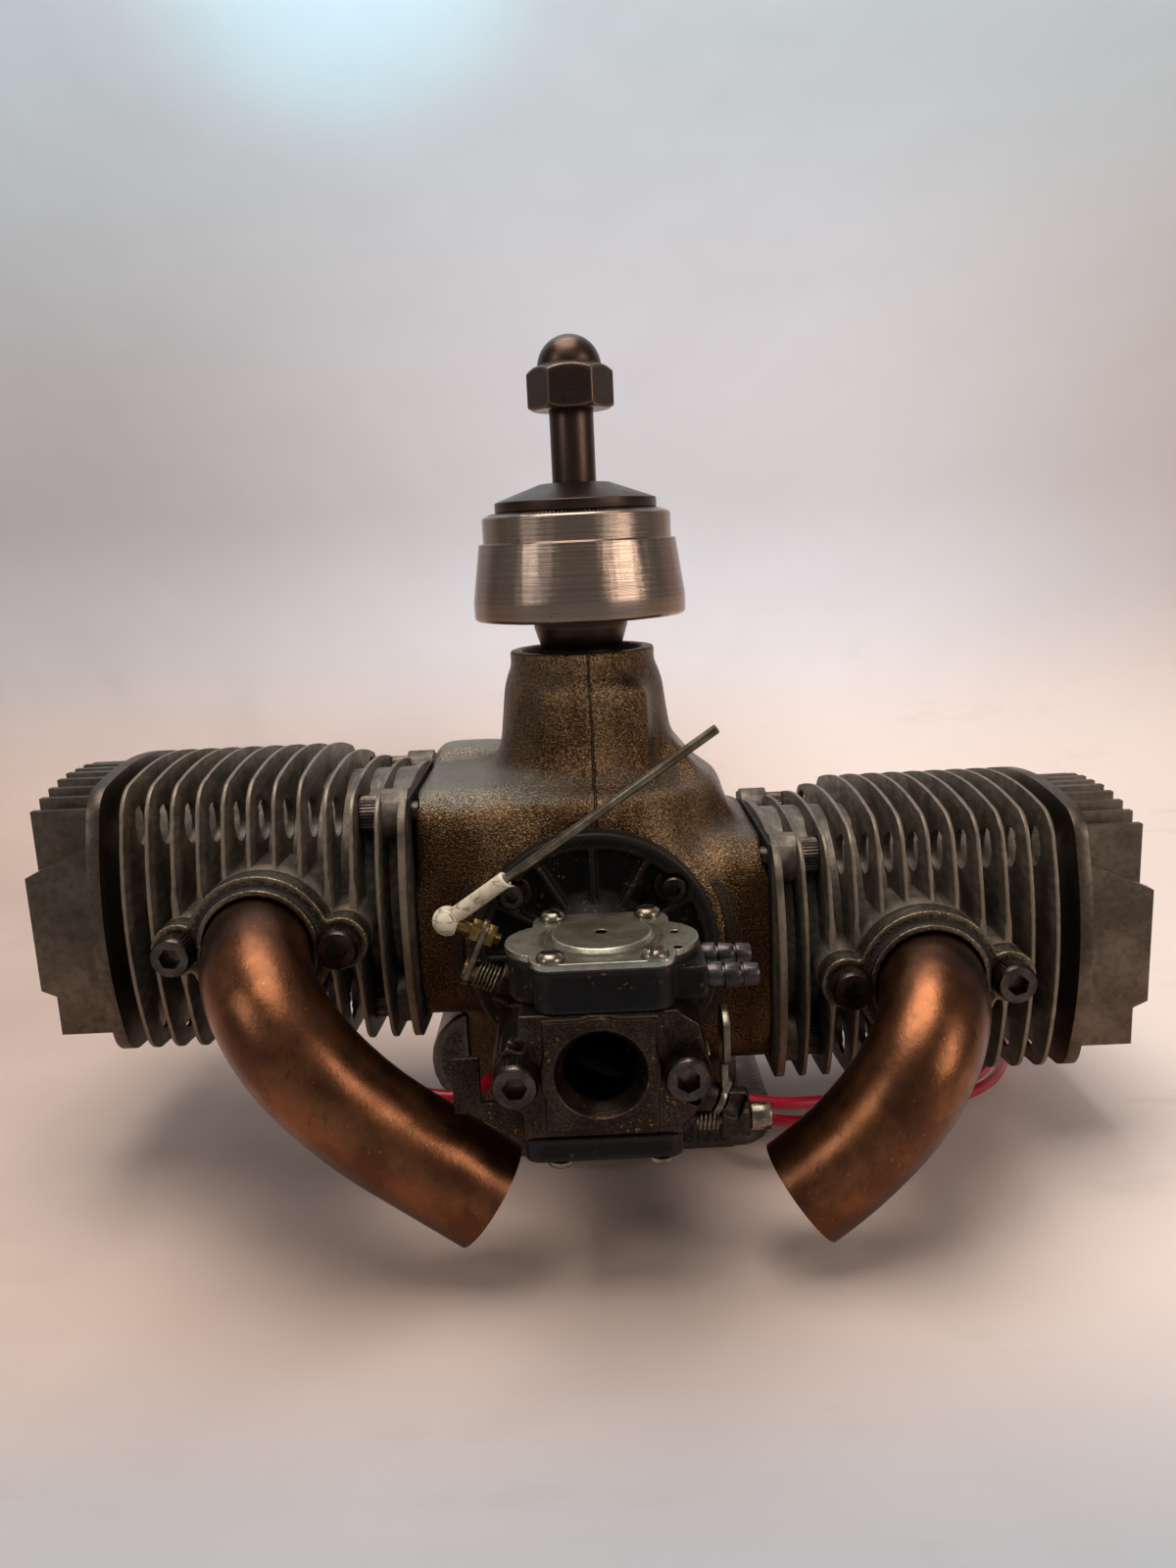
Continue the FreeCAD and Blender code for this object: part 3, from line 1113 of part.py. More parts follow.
def shoulder_slab(seat):
    """The slanted shoulders between the ears and the covers, in the front half of the casting."""
    ear = CARB_BOLT_X + CARB_EAR_R
    low = CARB_BOTTOM_Z
    outline = [(-11.0, CARB_TOP_Z - 0.5), (-ear + 2, CARB_Z + 4.5), (-ear, CARB_Z), (-ear, CARB_Z - 4),
               (-ear + 3, CARB_Z - 6), (-CARB_HALF_WIDTH + 0.5, CARB_Z - 8), (-CARB_HALF_WIDTH + 1, low + 1), (CARB_HALF_WIDTH - 1, low + 1),
               (ear - 3, CARB_Z - 8.5), (ear, CARB_Z - 4), (ear, CARB_Z), (ear - 2, CARB_Z + 8.5),
               (CARB_HALF_WIDTH, CARB_TOP_Z - 0.5)]
    return polygon_slab([V(x, seat, z) for x, z in outline], V(0, CARB_SHOULDER, 0))


def face_slots(seat):
    """Two slanted slots in the face, one over the left ear and one under the right."""
    slots = []
    for s in SIDES:
        slot = box(-FACE_SLOT / 2, FACE_SLOT / 2, seat - 2, seat + FACE_SLOT_DEPTH, -0.8, 0.8)
        slot.rotate(ORIGIN, Y_AXIS, SHAFT_TILT)
        slot.translate(V(s * (CARB_BOLT_X + 0.5), 0, CARB_Z - s * 6.0))
        slots.append(slot)
    return slots


def carb_body():
    """Carburettor casting with ears, shaft bosses and the idle screw's arm."""
    seat = CARB_FRONT_Y + CARB_BOLT_SINK
    pieces = [box(-CARB_HALF_WIDTH, CARB_HALF_WIDTH, seat, CARB_REAR_Y, CARB_BOTTOM_Z, CARB_TOP_Z),
              box(-CARB_FACE_X, CARB_FACE_X, CARB_FRONT_Y, seat, CARB_BOTTOM_Z + 2, CARB_TOP_Z - 1),
              rod(CARB_FACE_R, V(0, CARB_FRONT_Y, CARB_Z), V(0, seat, CARB_Z)), shoulder_slab(seat)]
    for s in SIDES:
        x = s * CARB_BOLT_X
        pieces.append(rod(CARB_EAR_R, V(x, seat, CARB_Z), V(x, CARB_REAR_Y, CARB_Z)))
        pieces.append(box(0, x, seat, CARB_REAR_Y, CARB_Z - CARB_EAR_R, CARB_Z + CARB_EAR_R))
    pieces.append(tilted(rod(THROTTLE_BOSS_R, V(-THROTTLE_BOSS_X, 0, 0), V(THROTTLE_BOSS_X - 2, 0, 0)), THROTTLE_Y))
    pieces.append(tilted(rod(CHOKE_BOSS_R, V(0, 0, 0), V(CHOKE_LEVER_X - SIDE_PLAY, 0, 0)), CHOKE_Y))
    idle_end = IDLE_BLOCK_X + IDLE_BLOCK
    half = IDLE_BLOCK / 2
    pieces.append(box(0, idle_end, IDLE_Y - half, IDLE_Y + half, CARB_BOTTOM_Z, CARB_BOTTOM_Z + IDLE_ARM))
    pieces.append(box(IDLE_BLOCK_X, idle_end, IDLE_Y - half, IDLE_Y + half, IDLE_Z - half, CARB_BOTTOM_Z + 1))
    solid = joined(pieces)
    cutters = throat_cutters()
    for s in SIDES:
        x = s * CARB_BOLT_X
        cutters.append(rod(M5_R + SCREW_FIT, V(x, CARB_FRONT_Y - 1, CARB_Z), V(x, CARB_REAR_Y + 1, CARB_Z)))
        cutters.append(rod(M5_HEAD_R + SCREW_FIT, V(x, CARB_FRONT_Y - 1, CARB_Z), V(x, seat, CARB_Z)))
    cutters.append(tilted(rod(THROTTLE_SHAFT_R + RUNNING, V(-40, 0, 0), V(40, 0, 0)), THROTTLE_Y))
    cutters.append(tilted(rod(CHOKE_SHAFT_R + RUNNING, V(-11, 0, 0), V(40, 0, 0)), CHOKE_Y))
    cutters.append(rod(IDLE_R + RUNNING, V(IDLE_TIP_X, IDLE_Y, IDLE_Z), V(idle_end + 1, IDLE_Y, IDLE_Z)))
    cutters += [rod(NEEDLE_R, V(-CARB_HALF_WIDTH - 10, y, z), V(-CARB_HALF_WIDTH + 7, y, z))
                for y, z in needle_points()]
    cutters.append(tilted(rod(CHOKE_FOOT_R + SIDE_PLAY, V(CHOKE_LEVER_X - SIDE_PLAY, 0, 0),
                              V(CHOKE_LEVER_X + 6, 0, 0)), CHOKE_Y))
    cutters += face_slots(seat)
    for x, y in cover_screw_points():
        cutters.append(rod(COVER_SCREW_R, up(x, y, CARB_TOP_Z - 4), up(x, y, CARB_TOP_Z + 1)))
        cutters.append(rod(COVER_SCREW_R, up(x, y, CARB_BOTTOM_Z - 1), up(x, y, CARB_BOTTOM_Z + 4)))
    return without(solid, cutters)


def needle_points():
    """The two mixture needles on the left of the casting."""
    return [(-66.0, CARB_Z - 10.5), (-60.0, CARB_Z - 10.5)]


def mixture_needles():
    """High and low speed mixture needles."""
    return [slotted_screw(NEEDLE_R, NEEDLE_HEAD_R, 2.0, 6.5, V(-CARB_HALF_WIDTH, y, z), V(-1, 0, 0))
            for y, z in needle_points()]


def carb_bolts():
    """Two long bolts through the carburettor into the intake flange."""
    seat = CARB_FRONT_Y + CARB_BOLT_SINK
    length = seat - CARB_FLANGE_Y
    return [socket_screw(M5_R, M5_HEAD_R, M5_HEAD, abs(length) - 0.5, V(s * CARB_BOLT_X, seat, CARB_Z), V(0, -1, 0))
            for s in SIDES]


def carb_gasket():
    """Gasket between the intake flange and the carburettor."""
    sheet = stadium(CARB_BOLT_X + CARB_EAR_R, CARB_EAR_R + 4, CARB_REAR_Y, CARB_REAR_Y + GASKET, 0, CARB_Z)
    holes = [rod(M5_R + SCREW_FIT, V(s * CARB_BOLT_X, CARB_REAR_Y - 1, CARB_Z),
                 V(s * CARB_BOLT_X, CARB_REAR_Y + 2, CARB_Z)) for s in SIDES]
    holes.append(rod(THROAT_R, V(0, CARB_REAR_Y - 1, CARB_Z), V(0, CARB_REAR_Y + 2, CARB_Z)))
    return without(sheet, holes)


def cover_screw_points():
    """Four screws at the corners of the diaphragm covers."""
    return [(COVER_CENTRE_X + sx * COVER_SCREW_X, COVER_CENTRE_Y + sy * COVER_SCREW_Y)
            for sx in SIDES for sy in SIDES]


def cover_outline(z0, z1, grow):
    """The lobed plan of the diaphragm chamber and its cover."""
    width = 2 * (COVER_HALF_X + grow)
    depth = 2 * (COVER_HALF_Y + grow)
    core = rounded_box(width, depth, z1 - z0, 3.5, V(COVER_CENTRE_X, COVER_CENTRE_Y, z0))
    lobes = [rod(COVER_LOBE_R + grow, up(COVER_CENTRE_X + s * COVER_LOBE_X, COVER_CENTRE_Y - 1, z0),
                 up(COVER_CENTRE_X + s * COVER_LOBE_X, COVER_CENTRE_Y - 1, z1)) for s in SIDES]
    return joined([core] + lobes)


def metering_block():
    """Black diaphragm chamber on top of the casting, with the fuel inlet bosses."""
    core = cover_outline(CARB_TOP_Z, BLOCK_TOP_Z - GASKET, -0.5)
    side_y = NIPPLE_FRONT_Y + NIPPLE_SPACING / 2
    side = box(8, NIPPLE_BLOCK_X, side_y - 8.5, side_y + 8.5, CARB_TOP_Z, CARB_TOP_Z + 6.2)
    cutters = [rod(NIPPLE_R - 0.5, V(NIPPLE_BLOCK_X - 4, y, NIPPLE_Z), V(NIPPLE_BLOCK_X + 1, y, NIPPLE_Z))
               for y in nipple_ys()]
    cutters += [rod(COVER_SCREW_R, up(x, y, CARB_TOP_Z - 1), up(x, y, BLOCK_TOP_Z + 1))
                for x, y in cover_screw_points()]
    cutters.append(rod(COVER_DISC_R - 2, up(COVER_CENTRE_X, COVER_CENTRE_Y, BLOCK_TOP_Z - 3.5),
                       up(COVER_CENTRE_X, COVER_CENTRE_Y, BLOCK_TOP_Z)))
    return without(joined([core, side]), cutters)


def nipple_ys():
    """Depths of the two fuel nipples."""
    return [NIPPLE_FRONT_Y, NIPPLE_FRONT_Y + NIPPLE_SPACING]


def diaphragm():
    """Thin diaphragm and gasket clamped under the cover plate."""
    sheet = cover_outline(BLOCK_TOP_Z - GASKET, BLOCK_TOP_Z, -0.5)
    return without(sheet, [rod(COVER_SCREW_R, up(x, y, BLOCK_TOP_Z - 2), up(x, y, BLOCK_TOP_Z + 1))
                           for x, y in cover_screw_points()])


def cover_plate():
    """Plated cover with a raised disc and a vent hole."""
    plate = cover_outline(BLOCK_TOP_Z, BLOCK_TOP_Z + COVER_PLATE, 0)
    centre = up(COVER_CENTRE_X, COVER_CENTRE_Y, BLOCK_TOP_Z)
    disc = Part.makeCone(COVER_DISC_R, COVER_DISC_R - 1, COVER_DISC, centre + V(0, 0, COVER_PLATE))
    cutters = [rod(1.1, centre - Z_AXIS, centre + Z_AXIS * 4)]
    cutters += [rod(COVER_SCREW_R, up(x, y, BLOCK_TOP_Z - 1), up(x, y, BLOCK_TOP_Z + 3))
                for x, y in cover_screw_points()]
    for y in (-65.5, -74.0):
        cutters.append(rod(0.8, up(15.0, y, BLOCK_TOP_Z - 1), up(15.0, y, BLOCK_TOP_Z + 3)))
    return without(joined([plate, disc]), cutters)


def cover_screws():
    """Slotted screws of the top cover and of the pump cover."""
    top = BLOCK_TOP_Z + COVER_PLATE
    bottom = CARB_BOTTOM_Z - PUMP_COVER
    screws = []
    for x, y in cover_screw_points():
        screws.append(slotted_screw(COVER_SCREW_R, COVER_SCREW_HEAD_R, COVER_SCREW_HEAD, top - CARB_TOP_Z + 3,
                                    up(x, y, top), Z_AXIS))
        screws.append(slotted_screw(COVER_SCREW_R, COVER_SCREW_HEAD_R, COVER_SCREW_HEAD, PUMP_COVER + 3,
                                    up(x, y, bottom), V(0, 0, -1)))
    return screws


def pump_cover():
    """Dark pump cover under the casting."""
    height = PUMP_COVER
    block = rounded_box(2 * CARB_HALF_WIDTH, 2 * PUMP_HALF_Y + 1, height, 2.5,
                        V(0, COVER_CENTRE_Y, CARB_BOTTOM_Z - height))
    return without(block, [rod(COVER_SCREW_R, up(x, y, CARB_BOTTOM_Z - height - 1), up(x, y, CARB_BOTTOM_Z + 1))
                           for x, y in cover_screw_points()])


def fuel_nipples():
    """Two barbed fuel nipples pressed into the chamber's side."""
    nipples = []
    for y in nipple_ys():
        profile = [(NIPPLE_BORE_R, -4), (NIPPLE_R - 0.5, -4), (NIPPLE_R - 0.5, 0), (NIPPLE_R + 0.3, 0),
                   (NIPPLE_R + 0.3, 2.6), (NIPPLE_R - 0.4, 2.6), (NIPPLE_R - 0.4, 3.2), (NIPPLE_R + 0.2, 3.2),
                   (NIPPLE_R - 0.1, 6), (NIPPLE_R - 0.4, 6), (NIPPLE_R - 0.4, 6.6), (NIPPLE_R, 6.6),
                   (NIPPLE_R - 0.3, NIPPLE_LENGTH), (NIPPLE_BORE_R, NIPPLE_LENGTH)]
        nipples.append(aimed(turned(profile), V(NIPPLE_BLOCK_X, y, NIPPLE_Z), X_AXIS))
    return nipples


def cable_bracket():
    """Steel bracket on the left of the carburettor, under the pump cover's level."""
    top = 47.5
    outline = [V(-28, 0, top), V(-22.8, 0, top), V(-22.8, 0, 38.2), V(-CARB_HALF_WIDTH, 0, 38.2),
               V(-CARB_HALF_WIDTH, 0, CARB_BOTTOM_Z - PUMP_COVER), V(-25.5, 0, 36.2), V(-28, 0, 36.2)]
    plate = polygon_slab(outline, V(0, BRACKET_THICKNESS, 0))
    plate.translate(V(0, BRACKET_Y - BRACKET_THICKNESS, 0))
    return plate


def stacked_rings(centre_r, count, start, direction):
    """A close-wound coil spring drawn as touching rings."""
    pitch = SPRING_WIRE_R * 1.9
    rings = [Part.makeTorus(centre_r, SPRING_WIRE_R, V(0, 0, SPRING_WIRE_R + pitch * index)) for index in range(count)]
    return aimed(joined(rings), start, direction)


def carb_springs():
    """Throttle return spring and idle screw spring."""
    start = tilted_point(-THROTTLE_BOSS_X, THROTTLE_Y, 0)
    outward = tilted_point(-2 * THROTTLE_BOSS_X, THROTTLE_Y, 0) - start
    throttle = stacked_rings(THROTTLE_SHAFT_R + 2 * RUNNING + SPRING_WIRE_R, 6, start, outward)
    idle_start = V(IDLE_BLOCK_X, IDLE_Y, IDLE_Z)
    idle = stacked_rings(IDLE_R + 2 * RUNNING + SPRING_WIRE_R, 5, idle_start, V(-1, 0, 0))
    return [throttle, idle]


# ================================================================ throttle and choke
def butterfly(y, flat):
    """A round valve plate on a tilted shaft, across the throat or along it."""
    across = rod(THROAT_R - RUNNING, V(0, -BUTTERFLY / 2, 0), V(0, BUTTERFLY / 2, 0))
    if flat:
        across.rotate(ORIGIN, X_AXIS, 90)
    return tilted(across, y)


def throttle_shaft():
    """Brass shaft through the casting."""
    bar = tilted(rod(THROTTLE_SHAFT_R, V(THROTTLE_LEVER_X - LEVER_THICKNESS, 0, 0), V(STOP_LEVER_X + 2, 0, 0)),
                 THROTTLE_Y)
    return bar.cut(butterfly(THROTTLE_Y, False))


def lever_plate(x, foot, top, width, turn):
    """A flat lever with round ends, standing on a shaft at x and turned about it."""
    half = width / 2
    plate = box(x, x + LEVER_THICKNESS, -half, half, -foot + half, top - half)
    ends = [rod(half, V(x, 0, z), V(x + LEVER_THICKNESS, 0, z)) for z in (-foot + half, top - half)]
    solid = joined([plate] + ends)
    solid.rotate(ORIGIN, X_AXIS, turn)
    return solid


def throttle_lever():
    """Steel lever on the left end of the throttle shaft."""
    lever = lever_plate(THROTTLE_LEVER_X - LEVER_THICKNESS / 2, LEVER_FOOT, LEVER_TOP, LEVER_WIDTH, 0)
    shaft = rod(THROTTLE_SHAFT_R, V(-60, 0, 0), V(0, 0, 0))
    stud = rod(STUD_R, V(-60, 0, BALL_ARM), V(0, 0, BALL_ARM))
    return tilted(without(lever, [shaft, stud]), THROTTLE_Y)


def stop_lever():
    """Idle stop lever on the right end of the throttle shaft."""
    lever = lever_plate(STOP_LEVER_X, 3.2, STOP_LEVER_LENGTH, 5.0, 90 + STOP_LEVER_TURN)
    shaft = rod(THROTTLE_SHAFT_R, V(0, 0, 0), V(60, 0, 0))
    return tilted(without(lever, [shaft]), THROTTLE_Y)


def ball_stud():
    """Brass ball stud, its collar and nut."""
    face = THROTTLE_LEVER_X - LEVER_THICKNESS / 2
    back = THROTTLE_LEVER_X + LEVER_THICKNESS / 2
    ball_x = THROTTLE_LEVER_X - BALL_OUT
    pieces = [hexagon(4.4, V(face, 0, BALL_ARM), V(-2.0, 0, 0)), hexagon(4.4, V(back, 0, BALL_ARM), V(1.8, 0, 0)),
              rod(STUD_R, V(ball_x + 1, 0, BALL_ARM), V(back + 3.0, 0, BALL_ARM)),
              Part.makeSphere(BALL_R, V(ball_x, 0, BALL_ARM), X_AXIS)]
    return tilted(joined(pieces), THROTTLE_Y)


def ball_centre():
    """Centre of the ball joint."""
    return tilted_point(THROTTLE_LEVER_X - BALL_OUT, THROTTLE_Y, BALL_ARM)


def pushrod_direction():
    """Unit vector from the ball joint along the pushrod."""
    return (PUSHROD_END - ball_centre()).normalize()


def ball_socket():
    """Nylon ball socket with the barrel that the rod screws into."""
    centre = ball_centre()
    along = pushrod_direction()
    to_lever = (tilted_point(0, THROTTLE_Y, BALL_ARM) - centre).normalize()
    shell = Part.makeSphere(SOCKET_R, centre, to_lever)
    barrel = rod(BARREL_ROD_R, centre + along * (SOCKET_R - 1), centre + along * BARREL_LENGTH)
    mouth = rod(STUD_R + SOCKET_MOUTH, centre, centre + to_lever * SOCKET_R * 2)
    hollow = Part.makeSphere(BALL_R + RUNNING, centre, to_lever)
    thread = rod(PUSHROD_R, centre + along * (BARREL_LENGTH - 8), centre + along * (BARREL_LENGTH + 1))
    return without(joined([shell, barrel]), [hollow, mouth, thread])


def pushrod():
    """Steel pushrod screwed into the ball socket."""
    centre = ball_centre()
    return rod(PUSHROD_R, centre + pushrod_direction() * (BARREL_LENGTH - 8), PUSHROD_END)


def choke_shaft():
    """Steel choke shaft."""
    bar = tilted(rod(CHOKE_SHAFT_R, V(-9.5, 0, 0), V(CHOKE_LEVER_X + LEVER_THICKNESS + 1, 0, 0)), CHOKE_Y)
    return bar.cut(butterfly(CHOKE_Y, True))


def choke_lever():
    """Choke lever: a foot and short arm on the shaft's end, and an upright half-round paddle."""
    outer_x = CHOKE_LEVER_X + LEVER_THICKNESS
    foot = rod(CHOKE_FOOT_R, V(CHOKE_LEVER_X, 0, 0), V(outer_x, 0, 0))
    rise = box(CHOKE_LEVER_X, outer_x, -CHOKE_NECK / 2, CHOKE_NECK / 2, 0, CHOKE_NECK + 0.6)
    shaft = rod(CHOKE_SHAFT_R, V(0, 0, 0), V(2 * outer_x, 0, 0))
    paddle_y = CHOKE_Y - CHOKE_PADDLE_SHIFT
    paddle_end = CHOKE_PADDLE_X + LEVER_THICKNESS
    paddle = rod(CHOKE_LEVER_R, V(CHOKE_PADDLE_X, paddle_y, CHOKE_PADDLE_Z), V(paddle_end, paddle_y, CHOKE_PADDLE_Z))
    flat = box(0, 2 * outer_x, paddle_y - CHOKE_FLAT, paddle_y - 20, CHOKE_PADDLE_Z - 20, CHOKE_PADDLE_Z + 20)
    neck = box(CHOKE_PADDLE_X, paddle_end, CHOKE_Y - CHOKE_NECK / 2, CHOKE_Y + CHOKE_NECK / 2,
               CHOKE_PADDLE_Z - CHOKE_NECK_DROP, CHOKE_PADDLE_Z)
    return joined([tilted(without(joined([foot, rise]), [shaft]), CHOKE_Y), paddle.cut(flat), neck])


def idle_screw():
    """Idle speed screw along X with a slotted head."""
    end = IDLE_BLOCK_X + IDLE_BLOCK
    return slotted_screw(IDLE_R, IDLE_HEAD_R, IDLE_HEAD, end - IDLE_TIP_X, V(end + SIDE_PLAY, IDLE_Y, IDLE_Z), X_AXIS)


# ================================================================ ignition leads
def lead(points):
    """A lead along hand-picked points, each corner rounded as far as its runs allow."""
    runs = [(b - a).Length for a, b in zip(points, points[1:])]
    edges = []
    start = points[0]
    length = 0.0
    for index in range(1, len(points) - 1):
        before = (points[index] - points[index - 1]).normalize()
        after = (points[index + 1] - points[index]).normalize()
        half_turn = before.getAngle(after) / 2
        cut_back = 0.45 * min(runs[index - 1], runs[index])
        radius = cut_back / math.tan(half_turn)
        print(f"lead corner {index}: radius {radius:.1f} mm")
        enter = points[index] - before * cut_back
        leave = points[index] + after * cut_back
        inward = (after - before).normalize()
        middle = points[index] + inward * (radius / math.cos(half_turn) - radius)
        edges.append(Part.LineSegment(start, enter).toShape())
        edges.append(Part.Arc(enter, middle, leave).toShape())
        length += (enter - start).Length + radius * 2 * half_turn
        start = leave
    edges.append(Part.LineSegment(start, points[-1]).toShape())
    length += (points[-1] - start).Length
    tube = swept(Part.Wire(edges), LEAD_R, points[1] - points[0])
    expected = math.pi * LEAD_R ** 2 * length
    print(f"lead volume {tube.Volume:.0f} of {expected:.0f} mm3")
    return tube


def cap_lead_point(side, offset):
    """Where a lead leaves its plug cap."""
    arm_y = PLUG_SEAT_Y + PLUG_HEX_LENGTH + CAP_LENGTH - CAP_ARM_R - 1
    return V(side * (PLUG_X + offset), arm_y, axis_z(side) - CAP_ARM_LENGTH - SIDE_PLAY)


def lead_left():
    """Plug lead of the left cylinder."""
    end = cap_lead_point(LEFT, 0)
    return lead([V(-25, -24.5, 21), V(-28, -35, 21.5), V(-38, -36, 22), V(-53, -30, 26), V(-68, -16, 24),
                 V(-86, 6, 21), V(-102, 32, 20), end + V(2, 0, -18), end])


def lead_right():
    """Plug lead of the right cylinder."""
    end = cap_lead_point(RIGHT, 0)
    return lead([V(22, -26.8, 20), V(26, -37, 20), V(38, -38, 17.5), V(56, -33, 15.5), V(76, -28, 14),
                 V(94, -15, 12), V(103, 12, 11), V(107, 36, 11), end + V(-3, 0, -18), end])


def lead_return():
    """Second strand beside the right plug lead, to its own clip on the cap's arm."""
    end = cap_lead_point(RIGHT, 3.6)
    return lead([V(25, -23.9, 14), V(31, -33, 13.5), V(42, -35.5, 11.5), V(58, -30, 9.5), V(78, -23, 8),
                 V(97, -9, 5.5), V(108, 14, 4), V(114, 38, 5), end + V(0.5, 0, -20), end])


# ================================================================ export
def pieces():
    """Every node name with its solid, or its list of solids."""
    return {
        "crankcase": crankcase(),
        "rear_cover": rear_cover(),
        "rear_cover_bolts": rear_cover_bolts(),
        "bearings": bearings(),
        "front_seal": front_seal(),
        "crankshaft": crankshaft(),
        "inner_races": inner_races(),
        "rod_eyes": rod_eyes(),
        "conrods": both_sides(conrod()),
        "pistons": both_sides(piston()),
        "piston_rings": [solid for part in piston_ring_set() for solid in both_sides(part)],
        "wrist_pins": both_sides(wrist_pin()),
        "cylinder_left": on_side(cylinder(), LEFT),
        "cylinder_right": on_side(cylinder(), RIGHT),
        "cylinder_gaskets": both_sides(base_gasket()) + both_sides(head_gasket()),
        "cylinder_bolts": [solid for part in cylinder_bolt_set() for solid in both_sides(part)],
        "head_left": on_side(head(), LEFT),
        "head_right": on_side(head(), RIGHT),
        "head_bolts": [solid for part in head_bolt_set() for solid in both_sides(part)],
        "spark_plugs": both_sides(spark_plug()),
        "plug_caps": both_sides(plug_cap()),
        "port_gaskets": both_sides(exhaust_gasket()) + [intake_gasket(), carb_gasket(), diaphragm()],
        "exhaust_flange_left": on_side(exhaust_flange(), LEFT),
        "exhaust_flange_right": on_side(exhaust_flange(), RIGHT),
        "exhaust_bolts": [solid for part in exhaust_bolt_pair() for solid in both_sides(part)],
        "exhaust_pipe_left": exhaust_pipe(LEFT),
        "exhaust_pipe_right": exhaust_pipe(RIGHT),
        "collar": collar(),
        "hub": hub(),
        "washer": washer(),
        "prop_bolt": prop_bolt(),
        "cap_nut": cap_nut(),
        "intake_manifold": intake_manifold(),
        "manifold_screws": manifold_screws(),
        "reed_plate": reed_plate(),
        "reed_petals": reed_petals(),
        "carb_body": carb_body(),
        "carb_bolts": carb_bolts(),
        "metering_block": metering_block(),
        "cover_plate": cover_plate(),
        "cover_screws": cover_screws(),
        "pump_cover": pump_cover(),
        "fuel_nipples": fuel_nipples(),
        "mixture_needles": mixture_needles(),
        "cable_bracket": cable_bracket(),
        "carb_springs": carb_springs(),
        "throttle_shaft": throttle_shaft(),
        "throttle_plate": butterfly(THROTTLE_Y, False),
        "throttle_lever": throttle_lever(),
        "stop_lever": stop_lever(),
        "ball_stud": ball_stud(),
        "ball_socket": ball_socket(),
        "pushrod": pushrod(),
        "choke_shaft": choke_shaft(),
        "choke_plate": butterfly(CHOKE_Y, True),
        "choke_lever": choke_lever(),
        "idle_screw": idle_screw(),
        "lead_left": lead_left(),
        "lead_right": lead_right(),
        "lead_return": lead_return(),
    }


def main():
    """Write one STEP file for each node."""
    os.makedirs("parts", exist_ok=True)
    for name, shape in pieces().items():
        solid = Part.makeCompound(shape) if isinstance(shape, list) else shape
        bounds = solid.BoundBox
        print(f"{name}: {len(solid.Solids)} solids, {solid.Volume:.0f} mm3, valid {solid.isValid()}, "
              f"x {bounds.XMin:.1f}..{bounds.XMax:.1f} y {bounds.YMin:.1f}..{bounds.YMax:.1f} "
              f"z {bounds.ZMin:.1f}..{bounds.ZMax:.1f}")
        solid.exportStep(f"parts/{name}.step")


main()
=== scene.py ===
"""Looks of a flat twin model aircraft engine: finishes, cast skins, screws, springs, leads and the studio."""
import json
import logging
import math
from dataclasses import dataclass, field
from enum import Enum
from typing import Callable, Dict, Iterable, List, Optional, Sequence, Tuple, Union

import bmesh
import bpy
import numpy as np
from bpy.types import Material, Mesh, Object
from mathutils import Matrix, Vector

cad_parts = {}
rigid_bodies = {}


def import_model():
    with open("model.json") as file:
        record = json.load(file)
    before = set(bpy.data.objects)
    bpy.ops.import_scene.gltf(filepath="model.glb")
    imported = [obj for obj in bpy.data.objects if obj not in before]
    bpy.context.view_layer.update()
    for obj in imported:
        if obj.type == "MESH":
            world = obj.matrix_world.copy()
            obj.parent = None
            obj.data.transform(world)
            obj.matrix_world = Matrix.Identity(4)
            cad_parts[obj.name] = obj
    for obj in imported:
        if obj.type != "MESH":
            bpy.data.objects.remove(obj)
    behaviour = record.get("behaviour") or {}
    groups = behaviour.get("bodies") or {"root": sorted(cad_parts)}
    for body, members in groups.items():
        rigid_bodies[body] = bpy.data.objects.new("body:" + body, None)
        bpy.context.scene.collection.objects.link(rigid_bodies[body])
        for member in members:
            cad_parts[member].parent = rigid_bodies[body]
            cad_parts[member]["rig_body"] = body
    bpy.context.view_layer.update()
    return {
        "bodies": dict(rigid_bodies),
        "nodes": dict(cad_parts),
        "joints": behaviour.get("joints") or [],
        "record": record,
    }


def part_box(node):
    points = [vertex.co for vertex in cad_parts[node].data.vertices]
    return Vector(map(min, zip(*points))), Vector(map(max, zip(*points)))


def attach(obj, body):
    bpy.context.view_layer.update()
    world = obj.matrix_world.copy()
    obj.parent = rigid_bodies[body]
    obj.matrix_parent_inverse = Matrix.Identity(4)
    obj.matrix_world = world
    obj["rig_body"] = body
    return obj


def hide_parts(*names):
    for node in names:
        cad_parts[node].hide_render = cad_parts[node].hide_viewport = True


Pair = Tuple[float, float]
Triple = Tuple[float, float, float]
Number = Union[float, "Value"]
Melt = Callable[[np.ndarray], np.ndarray]
Profile = Sequence[Pair]

MM = 0.001
FLAT_ANGLE = 1.0           # faces this close to one plane are joined, in degrees
EDGE_ANGLE = 28.0          # an edge gets a bevel over this angle
SHARP_ANGLE = 40.0         # an edge is shaded sharp over this angle
SCREW_ANGLE = 30.0
TURNED_ANGLE = 50.0
PIPE_ANGLE = 35.0
LOG = logging.getLogger("engine")
RELIEF = "relief"          # signed height of a point over its smoothed surroundings
RUN = "run"                # distance along a tube


class Side(Enum):
    """The two cylinder sides."""

    LEFT = -1
    RIGHT = 1

    @property
    def word(self) -> str:
        """The side's name as the nodes spell it."""
        return self.name.lower()


AXIS_Z: Dict[Side, float] = {Side.LEFT: 62.5, Side.RIGHT: 48.5}   # heights of the cylinders' axes in millimetres


class Drive(Enum):
    """What a screw head is turned by."""

    HEXAGON = "hexagon"
    SLOT = "slot"


